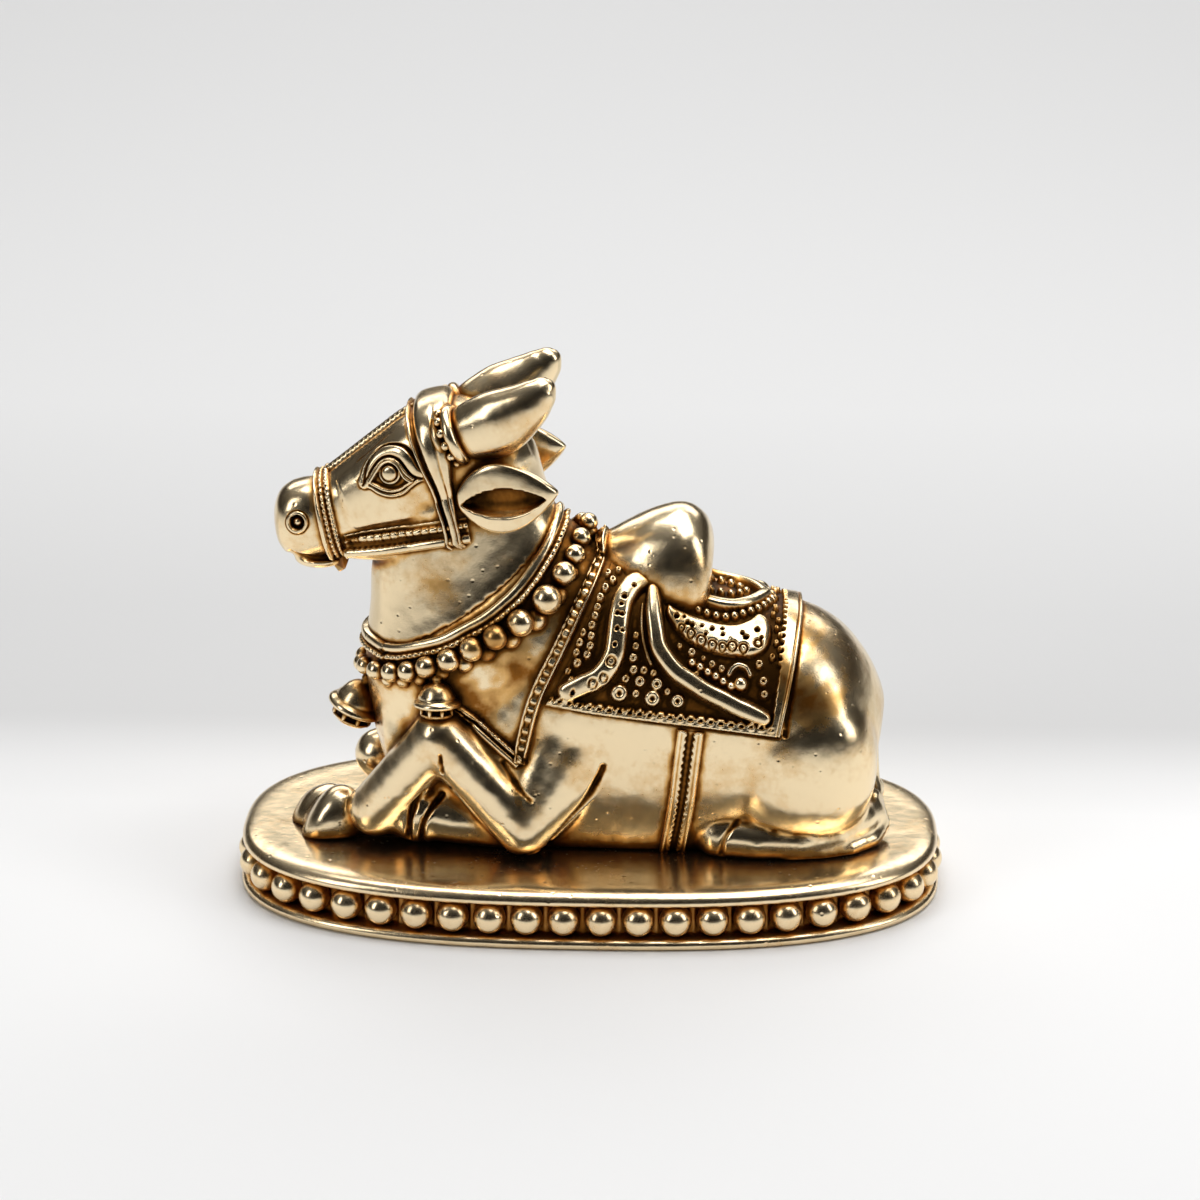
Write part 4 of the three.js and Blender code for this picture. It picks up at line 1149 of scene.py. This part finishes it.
mould = bmesh.new()
shoulder_line = np.vstack([[[2.9, -0.4, 66]], on_side(smooth_path(SHOULDER_ROUTE), body_skin)])
strap(mould, shoulder_line, body_skin, 1.6, shoulder_section, columns=22)
strap(mould, on_side(smooth_path(CHEST_ROUTE), body_skin), body_skin, 1.6, chest_section, columns=20)
girth_line = on_side(smooth_path(GIRTH_ROUTE), body_skin)
strap(mould, girth_line, body_skin, 2.9, girth_section, step=0.2, columns=36)
both_sides(mould)
to_row(mould)
harness = finish(mould, "harness", bull_brass)

# The saddle cloth is carved low on the back: a smooth border with scalloped beading, thick rolls of
# folded cloth, a tasselled pad behind the hump and rows of small ringed bosses on a sunk ground.
CLOTH_FRONT, CLOTH_REAR = [(5.2, 62.0), (-8.6, 35.0)], [(44.8, 56.0), (40.2, 30.0)]
CLOTH_PROUD, CLOTH_GROUND = 1.6, 0.25
CLOTH_COLUMNS, CLOTH_ROWS = 240, 310
FOOT_BAND, ARCH_PITCH, ARCH_RADIUS, ARCH_HALF, CURL_PITCH = 1.3, 2.1, 0.78, 0.28, 1.7
# the ornament's lines, as seen from the side: length and height
FRONT_FOLD = [
    (12.5, 51.8), (9.8, 51.0), (7.8, 48.3), (7.0, 45.6), (6.6, 42.8), (6.3, 39.8), (5.8, 36.7),
    (4.4, 34.0), (2.3, 31.9), (-0.7, 30.5), (-3.8, 29.0),
]
REAR_FOLD = [
    (13.8, 49.3), (13.9, 45.4), (14.3, 42.3), (14.9, 38.7), (16.5, 36.0), (18.9, 33.3), (22.0, 31.3),
    (25.0, 29.4), (28.1, 28.0), (31.1, 26.5), (33.9, 25.4), (36.8, 24.2),
]
PAD = [
    (16.6, 46.9), (18.7, 45.7), (21.8, 44.4), (24.8, 43.4), (27.9, 42.7), (30.9, 42.6), (33.6, 43.5),
    (35.4, 44.6), (37.6, 43.5), (38.2, 41.1), (37.3, 38.1), (34.9, 36.5), (31.9, 36.4), (28.6, 36.8),
    (24.9, 37.6), (21.9, 39.0), (19.4, 40.8), (17.6, 42.9), (16.3, 45.0),
]
PAD_STRING = [
    (21.1, 46.6), (23.4, 45.7), (26.0, 44.8), (29.2, 44.4), (33.0, 45.3), (36.3, 46.6), (39.0, 48.6),
]
UPPER_ROLL = [
    (22.6, 47.8), (24.7, 47.4), (27.8, 46.7), (30.8, 46.5), (33.9, 47.2), (36.4, 48.4), (38.2, 49.6),
]
INNER_STRING = [(25.4, 50.0), (27.2, 49.5), (29.0, 49.1), (31.0, 49.1), (33.0, 49.6), (34.6, 50.4)]
CHAIN = [(21.9, 35.2), (23.8, 34.2), (25.0, 33.4), (26.8, 32.5), (28.6, 31.3), (29.9, 30.5)]
SCROLL = [(29.5, 32.9), (30.0, 33.9), (31.3, 34.8), (33.0, 34.3), (33.8, 32.9)]
THIN_RIDGE = [(11.5, 46.9), (11.4, 43.8), (11.6, 40.8), (12.4, 37.5), (13.5, 34.8)]
# ringed bosses: length, height and radius
FRONT_BOSSES = [
    (6.4, 53.6, 0.65), (4.2, 53.0, 0.78), (5.3, 51.6, 0.78), (3.8, 50.1, 0.8), (2.8, 48.1, 0.83),
    (2.3, 46.1, 0.78), (1.8, 44.4, 0.78), (1.2, 42.5, 0.87), (-0.7, 41.0, 0.87), (1.1, 40.4, 0.82),
    (-1.3, 39.0, 0.92), (0.9, 38.4, 0.86), (-1.9, 37.0, 0.78), (0.3, 36.6, 0.86), (-1.7, 34.9, 0.95),
    (-3.6, 33.2, 0.7), (-3.0, 31.6, 0.6),
]
MIDDLE_BOSSES = [
    (10.3, 40.6, 0.65), (10.3, 38.4, 0.76), (9.8, 36.1, 0.9), (9.9, 33.7, 0.9), (12.0, 33.6, 0.82),
    (14.0, 33.1, 0.72), (8.3, 31.9, 0.84), (11.2, 31.4, 1.15), (14.7, 30.9, 1.26), (13.8, 28.0, 1.7),
    (7.0, 29.0, 1.8), (19.0, 27.5, 1.42), (10.4, 28.9, 0.8), (16.9, 29.4, 0.7),
]
REAR_BOSSES = [
    (38.4, 36.4, 0.68), (35.7, 35.0, 0.86), (36.6, 31.6, 0.9), (36.8, 29.0, 0.8), (21.8, 37.2, 0.86),
    (19.3, 38.5, 0.55), (26.0, 34.9, 0.72), (28.0, 34.0, 0.72), (24.2, 36.1, 0.5), (22.9, 33.0, 0.5),
    (39.0, 46.2, 0.6), (38.5, 44.8, 0.55), (39.6, 43.6, 0.6), (39.2, 42.0, 0.55), (40.0, 40.6, 0.6),
    (39.2, 39.2, 0.55), (39.9, 37.9, 0.55),
]
DOME = (31.9, 31.0, 1.6)
# cut into the folds and the pad: rings, and drilled holes
CUT_RINGS = [
    (5.3, 35.2, 1.0), (1.6, 30.8, 0.95), (3.8, 32.0, 0.85), (23.7, 39.2, 1.05), (26.0, 38.4, 0.9),
    (30.1, 38.1, 1.0), (32.4, 37.7, 0.9), (21.6, 40.6, 0.85), (28.1, 38.0, 0.8), (35.4, 38.6, 0.8),
    (19.6, 41.8, 0.7),
]
HOLES = [
    (9.7, 49.9, 0.4), (7.8, 47.8, 0.6), (7.2, 46.4, 0.45), (6.4, 44.6, 0.5), (7.4, 44.4, 0.5),
    (6.4, 41.6, 0.5), (7.5, 41.3, 0.4), (6.0, 38.5, 0.45), (-2.6, 28.9, 0.5), (18.5, 43.9, 0.6),
    (20.8, 42.5, 0.5), (21.8, 42.1, 0.5), (23.8, 41.9, 0.35), (25.9, 41.3, 0.5), (28.0, 41.3, 0.4),
    (28.1, 40.2, 0.4), (35.2, 41.1, 0.6), (32.9, 39.7, 0.6), (32.1, 40.5, 0.45), (36.1, 39.6, 0.4),
    (24.6, 40.4, 0.35), (20.2, 43.7, 0.35),
]


FLANK_STATIONS = np.linspace(0, len(TRUNK) - 1, 521)
FLANK_TURN = np.pi * 0.8
# rings of the trunk's near side from ridge to belly, to look up a place by length and height
FLANK = on_form(TRUNK, FLANK_STATIONS[:, None], np.linspace(0, -FLANK_TURN, 161)[None, :])
FLANK_LENGTHS = FLANK[:, 40, 0]


def station_at(x):
    """The trunk's station at a length."""
    return np.interp(x, FLANK_LENGTHS, FLANK_STATIONS)


def on_flank(x, z):
    """The near flank's skin at a length and height."""
    k = np.interp(x, FLANK_LENGTHS, np.arange(len(FLANK)))
    low, share = int(k), k - int(k)
    ring = FLANK[low] * (1 - share) + FLANK[min(low + 1, len(FLANK) - 1)] * share
    return np.array([np.interp(-z, -ring[:, 2], ring[:, axis]) for axis in range(3)])


def ring_angle(x, z):
    """The angle on the trunk's ring at a length and height."""
    angle = np.linspace(0, FLANK_TURN, 400)
    ring = on_form(TRUNK, station_at(x), angle)
    return np.interp(-z, -ring[:, 2], angle)


def cloth_foot(share):
    """Length and height on the cloth's lower edge, from front to rear."""
    return [front + (rear - front) * share for front, rear in zip(CLOTH_FRONT[1], CLOTH_REAR[1])]


work = bmesh.new()
bmesh.ops.create_grid(work, x_segments=CLOTH_COLUMNS, y_segments=CLOTH_ROWS, size=1)
flat = spots(work)
u, v = (flat[:, 0] + 1) / 2, flat[:, 1]
share = np.abs(v)
foot_x, foot_z = cloth_foot(u)
top_x = CLOTH_FRONT[0][0] + (CLOTH_REAR[0][0] - CLOTH_FRONT[0][0]) * u
columns = np.linspace(0, 1, CLOTH_COLUMNS + 1)
trunk = bmesh.new()
loft(trunk, TRUNK, 0, 13, 192, 180)
trunk_skin = BVHTree.FromBMesh(trunk)
trunk.free()
foot_angle = [ring_angle(*cloth_foot(c)) for c in columns]
angle = np.interp(u, columns, foot_angle) * share
# each point slides from its place on the ridge towards its place on the lower edge as it falls
x = top_x
for _ in range(5):
    t = station_at(x)
    here = on_form(TRUNK, t, angle)
    ridge = on_form(TRUNK, t, 0.0)[:, 2]
    fall = np.clip((ridge - here[:, 2]) / np.maximum(ridge - foot_z, 1), 0, 1)
    x = top_x + (foot_x - top_x) * fall
t = station_at(x)
near_side = on_form(TRUNK, t, -angle)
lifted = on_form(TRUNK, t, -angle, 1.0)
direction = lifted - near_side
direction /= np.linalg.norm(direction, axis=1)[:, None]

# distances in from the cloth's lower and rear edges, in millimetres
foot_line = [on_flank(*cloth_foot(c)) for c in np.linspace(0, 1, 30)]
from_foot, run_foot = near(near_side, foot_line)
at_rear = np.abs(u - 1) < 1e-6
rear_line = near_side[at_rear][np.argsort(share[at_rear])][::6]
from_rear, run_rear = near(near_side, rear_line)

height = np.full(len(u), CLOTH_GROUND)
# borders: a smooth lower edge with small arches on it, and a broad rear band with a curled inner edge
height = np.where(from_foot < FOOT_BAND, CLOTH_PROUD, height)
arch_run = (np.mod(run_foot / ARCH_PITCH, 1.0) - 0.5) * ARCH_PITCH
arch = np.abs(np.hypot(arch_run, from_foot - FOOT_BAND) - ARCH_RADIUS)
height = np.where((arch < ARCH_HALF) & (from_foot < 2.5), CLOTH_PROUD * 0.95, height)
rear_wide = 2.3 + 1.3 * np.clip((near_side[:, 2] - 34) / 18, 0, 1)
curls = 0.75 * np.clip(np.sin(2 * np.pi * run_rear / CURL_PITCH), -0.2, 1)
curls *= np.clip((near_side[:, 2] - 42) / 2, 0, 1)
flat_band = CLOTH_PROUD * (1 - 0.12 * np.clip(from_rear / rear_wide, 0, 1) ** 2)
height = np.where(from_rear < rear_wide + curls, np.maximum(height, flat_band), height)
height += crease(from_rear - 0.75, 0.16, 0.3) * (height > 1)


def gap_to(path):
    """Distance of the cloth's points from a line of the ornament, and how far along it they are."""
    return near(near_side, drape(smooth_path(path, 6), trunk_skin))


def flat_roll(gap, half, proud):
    """The section of a broad roll with a flattened top."""
    return proud * np.clip(1 - np.clip(gap / half, 0, 1) ** 3.2, 0, 1) ** 0.5


def tapered(run, half, ends):
    """Half widths along a fold that narrows at its ends."""
    share = run / run.max()
    return half * (ends + (1 - ends) * np.clip(np.minimum(share, 1 - share) / 0.12, 0, 1) ** 0.6)


for path, half, proud, ends in [(FRONT_FOLD, 2.3, 2.1, 0.95), (REAR_FOLD, 1.95, 2.3, 0.8)]:
    gap, run = gap_to(path)
    height = np.maximum(height, CLOTH_GROUND + flat_roll(gap, tapered(run, half, ends), proud))
outline = drape(along(PAD + PAD[:1], np.linspace(0, len(PAD), 130)), trunk_skin)
in_pad = inside_path(seen(near_side), seen(outline))
edge_gap = near(near_side, outline)[0]
pad_height = CLOTH_GROUND + 2.1 * np.clip(1 - (1 - np.clip(edge_gap / 1.5, 0, 1)) ** 2.4, 0, 1) ** 0.5
height = np.where(in_pad, pad_height, height)
for path, half, proud in [(UPPER_ROLL, 1.35, 2.2), (SCROLL, 0.55, 1.3), (THIN_RIDGE, 0.32, 1.0)]:
    height = np.maximum(height, CLOTH_GROUND + flat_roll(gap_to(path)[0], half, proud))


def gap_from(x, w):
    """Distance of the cloth's points from one place of the ornament."""
    return np.linalg.norm(near_side - drape([(x, w)], trunk_skin)[0], axis=1)


def lump(height, centre, radius, proud):
    """A plain round lump."""
    gap = np.linalg.norm(near_side - centre, axis=1)
    return np.where(gap < radius, np.maximum(height, CLOTH_GROUND + roll(gap, radius, proud)), height)


for path, pitch, radius in [(PAD_STRING, 1.95, 1.0), (INNER_STRING, 2.1, 0.95), (CHAIN, 1.75, 1.0)]:
    line, _ = evenly(drape(smooth_path(path), trunk_skin), pitch)
    for centre in line:
        height = lump(height, centre, radius, 1.5)
for x, w, radius in FRONT_BOSSES + MIDDLE_BOSSES + REAR_BOSSES:
    gap = gap_from(x, w)
    ringed = 0.15 + roll(gap - 0.6 * radius, 0.42 * radius, 1.25) + roll(gap, 0.3 * radius, 0.4)
    height = np.where(gap < radius, np.maximum(height, CLOTH_GROUND + ringed), height)
height = lump(height, drape([DOME[:2]], trunk_skin)[0], DOME[2], 1.9)
for x, w, radius in CUT_RINGS:
    gap = gap_from(x, w)
    height += crease(gap - 0.9 * radius, 0.19, 0.8) + crease(gap, 0.35 * radius, 0.35)
for x, w, radius in HOLES:
    height -= 1.5 * np.clip(1 - (gap_from(x, w) / radius) ** 2, 0, 1) ** 0.5
height = np.maximum(height, -0.3)
rim = (u < 1e-6) | (u > 1 - 1e-6) | (share > 1 - 1e-6)
# the sunk ground is darkened the lower it lies, as painted shade and patina
sunk_patina_and_shade = np.clip((CLOTH_GROUND + 0.55 - height) / 0.5, 0, 1) * ~rim
height = np.where(rim, -1.0, height)
cloth_side = near_side + direction * height[:, None]
cloth_side[:, 1] *= np.where(v > 0, -1, 1)
move(work.verts, cloth_side)
bmesh.ops.holes_fill(work, edges=work.edges, sides=0)
to_row(work)
cloth = finish(work, "saddle_cloth", bull_brass)
mark_sunk(cloth, sunk_patina_and_shade)

# The casting is darkened with a sulphur wash and then rubbed bright, so the brown patina stays where the
# cloth and wheel don't reach: in creases and round raised work. Painted shade is added over it, darkest where
# nearby brass hides a place: in creases, between parts and under the body.
# how hidden a place is, which sets its painted shade, comes from a fan of rays of that reach
RAYS, REACH = 9, 11.0
# painted shade of a place that is hidden, patina and painted shade in a fine or a broad hollow, and tone
# taken off on a rubbed edge
HIDDEN_SHADE_TONE, FINE_TONE, BROAD_TONE, RUBBED_TONE = 1.9, 0.5, 0.7, 0.15
# the plinth takes only this share of the patina and painted shade, its patina rubbed brighter than the
# bull's; patina and painted shade of the ears' hollows and of the cloth's ground
PLINTH_SHARE, EAR_TONE, CLOTH_TONE = 0.4, 0.4, 0.65
# duller, darker patches on the near side, painted dark reflections mixed with tarnish: centre, radius and
# depth of tone
TARNISH_AND_DARK_REFLECTION = [
    ((46, -18, 50), 11, 0.36),
    ((41, -12, 60), 8, 0.22),
    ((-23, -15, 49), 10, 0.42),
    ((-16, -15, 57), 9, 0.36),
    ((-30, -9, 72), 7, 0.2),
    ((-9, -20, 31), 8, 0.2),
    ((24, -22, 27), 8, 0.14),
    ((17, -12, 69), 8, 0.24),
    ((-34, -9, 88), 8, 0.14),
    ((-44, -8, 36), 9, 0.18),
    ((8, -22, 27), 8, 0.12),
]
generator = np.random.default_rng(7)


def share_out(values, edges, rounds, keep=0.5):
    """Evens values out over neighbouring vertices."""
    count = np.bincount(edges.ravel(), minlength=len(values))
    for _ in range(rounds):
        total = np.bincount(edges[:, 0], values[edges[:, 1]], len(values))
        total += np.bincount(edges[:, 1], values[edges[:, 0]], len(values))
        values = keep * values + (1 - keep) * total / np.maximum(count, 1)
    return values


def arrays(piece):
    """Places, directions and edges of a piece's mesh."""
    mesh = piece.data
    co = np.empty(len(mesh.vertices) * 3)
    mesh.vertices.foreach_get("co", co)
    edges = np.empty(len(mesh.edges) * 2, dtype=np.int64)
    mesh.edges.foreach_get("vertices", edges)
    normal = np.empty(len(mesh.vertices) * 3)
    mesh.vertex_normals.foreach_get("vector", normal)
    return co.reshape(-1, 3), normal.reshape(-1, 3), edges.reshape(-1, 2)


brass_pieces = [plinth, body, head, horns, ears, bridle, necklace, bells, harness, cloth]
all_verts, all_faces, shift = [], [], 0
for piece in brass_pieces:
    co, _, _ = arrays(piece)
    all_verts.append(co)
    all_faces += [[index + shift for index in face.vertices] for face in piece.data.polygons]
    shift += len(co)
cast = BVHTree.FromPolygons(np.concatenate(all_verts).tolist(), all_faces).ray_cast

golden = np.pi * (3 - np.sqrt(5))
steps = np.arange(RAYS)
fall = np.sqrt((steps + 0.5) / RAYS)
fan = np.column_stack([fall * np.cos(steps * golden), fall * np.sin(steps * golden), np.sqrt(1 - fall**2)])
for piece in brass_pieces:
    co, normal, edges = arrays(piece)
    way = co[edges[:, 1]] - co[edges[:, 0]]
    turned = normal[edges[:, 1]] - normal[edges[:, 0]]
    bend = (turned * way).sum(1) / np.maximum((way**2).sum(1), 1e-12) * MM
    count = np.maximum(np.bincount(edges.ravel(), minlength=len(co)), 1)
    curve = (np.bincount(edges[:, 0], bend, len(co)) + np.bincount(edges[:, 1], bend, len(co))) / count
    fine, broad = share_out(curve, edges, 2), share_out(curve, edges, 14)
    spin = generator.uniform(0, 2 * np.pi, len(co))
    side = np.cross(normal, np.where(np.abs(normal[:, 2:3]) < 0.9, [[0.0, 0.0, 1.0]], [[1.0, 0.0, 0.0]]))
    side /= np.maximum(np.linalg.norm(side, axis=1)[:, None], 1e-9)
    other = np.cross(normal, side)
    axis_a = side * np.cos(spin)[:, None] + other * np.sin(spin)[:, None]
    axis_b = np.cross(normal, axis_a)
    start = co + normal * 0.06 * MM
    # painted shade: how much nearby brass closes each place off, from the fan of rays
    hidden = np.zeros(len(co))
    for a, b, c in fan:
        ways = axis_a * a + axis_b * b + normal * c
        hits = np.array([cast(p, w, REACH * MM)[3] or np.inf for p, w in zip(start.tolist(), ways.tolist())])
        hidden += np.clip(1 - hits / (REACH * MM), 0, 1)
    hidden = share_out(hidden / RAYS, edges, 3)
    # painted shade where a place is hidden, patina and painted shade in fine and broad hollows, and lighter
    # wear on rubbed edges
    patina = HIDDEN_SHADE_TONE * np.clip(hidden - 0.1, 0, 1) + FINE_TONE * np.clip(-fine, 0, 1)
    patina += BROAD_TONE * np.clip(-broad * 2, 0, 1)
    patina -= RUBBED_TONE * np.clip(fine, 0, 1.5)
    # the plinth takes less of the patina and the painted shade
    if piece is plinth:
        patina *= PLINTH_SHARE
    x, _, z = (co / MM).T
    # swirls about 18 mm and 7 mm across break the patches up
    swirl = np.sin(0.35 * x + 1.7 * np.sin(0.23 * z + 0.4)) + np.sin(0.41 * z + 1.9 * np.sin(0.27 * x + 1.1))
    swirl += 0.8 * np.sin(0.95 * x + 2.1 * np.sin(0.7 * z)) * np.sin(0.8 * z + 1.5 * np.sin(0.6 * x))
    # patches of painted dark reflection mixed with tarnish
    for centre, reach, depth in TARNISH_AND_DARK_REFLECTION:
        away = np.linalg.norm(co / MM - centre, axis=1) / reach
        patina += depth * np.exp(-(away**2)) * np.clip(0.8 + 0.45 * swirl, 0, 1.6)
    # the ears' hollows and the cloth's sunk ground darken by their depth, as painted shade and patina
    if "sunk" in piece.data.attributes:
        sunk = np.empty(len(co))
        piece.data.attributes["sunk"].data.foreach_get("value", sunk)
        patina += (EAR_TONE if piece is ears else CLOTH_TONE) * sunk
    # the attribute holds the patina and the painted shade together, for the brass colour
    layer = piece.data.attributes.new("patina", "FLOAT", "POINT")
    layer.data.foreach_set("value", np.clip(patina, 0, 1).astype(np.float32))
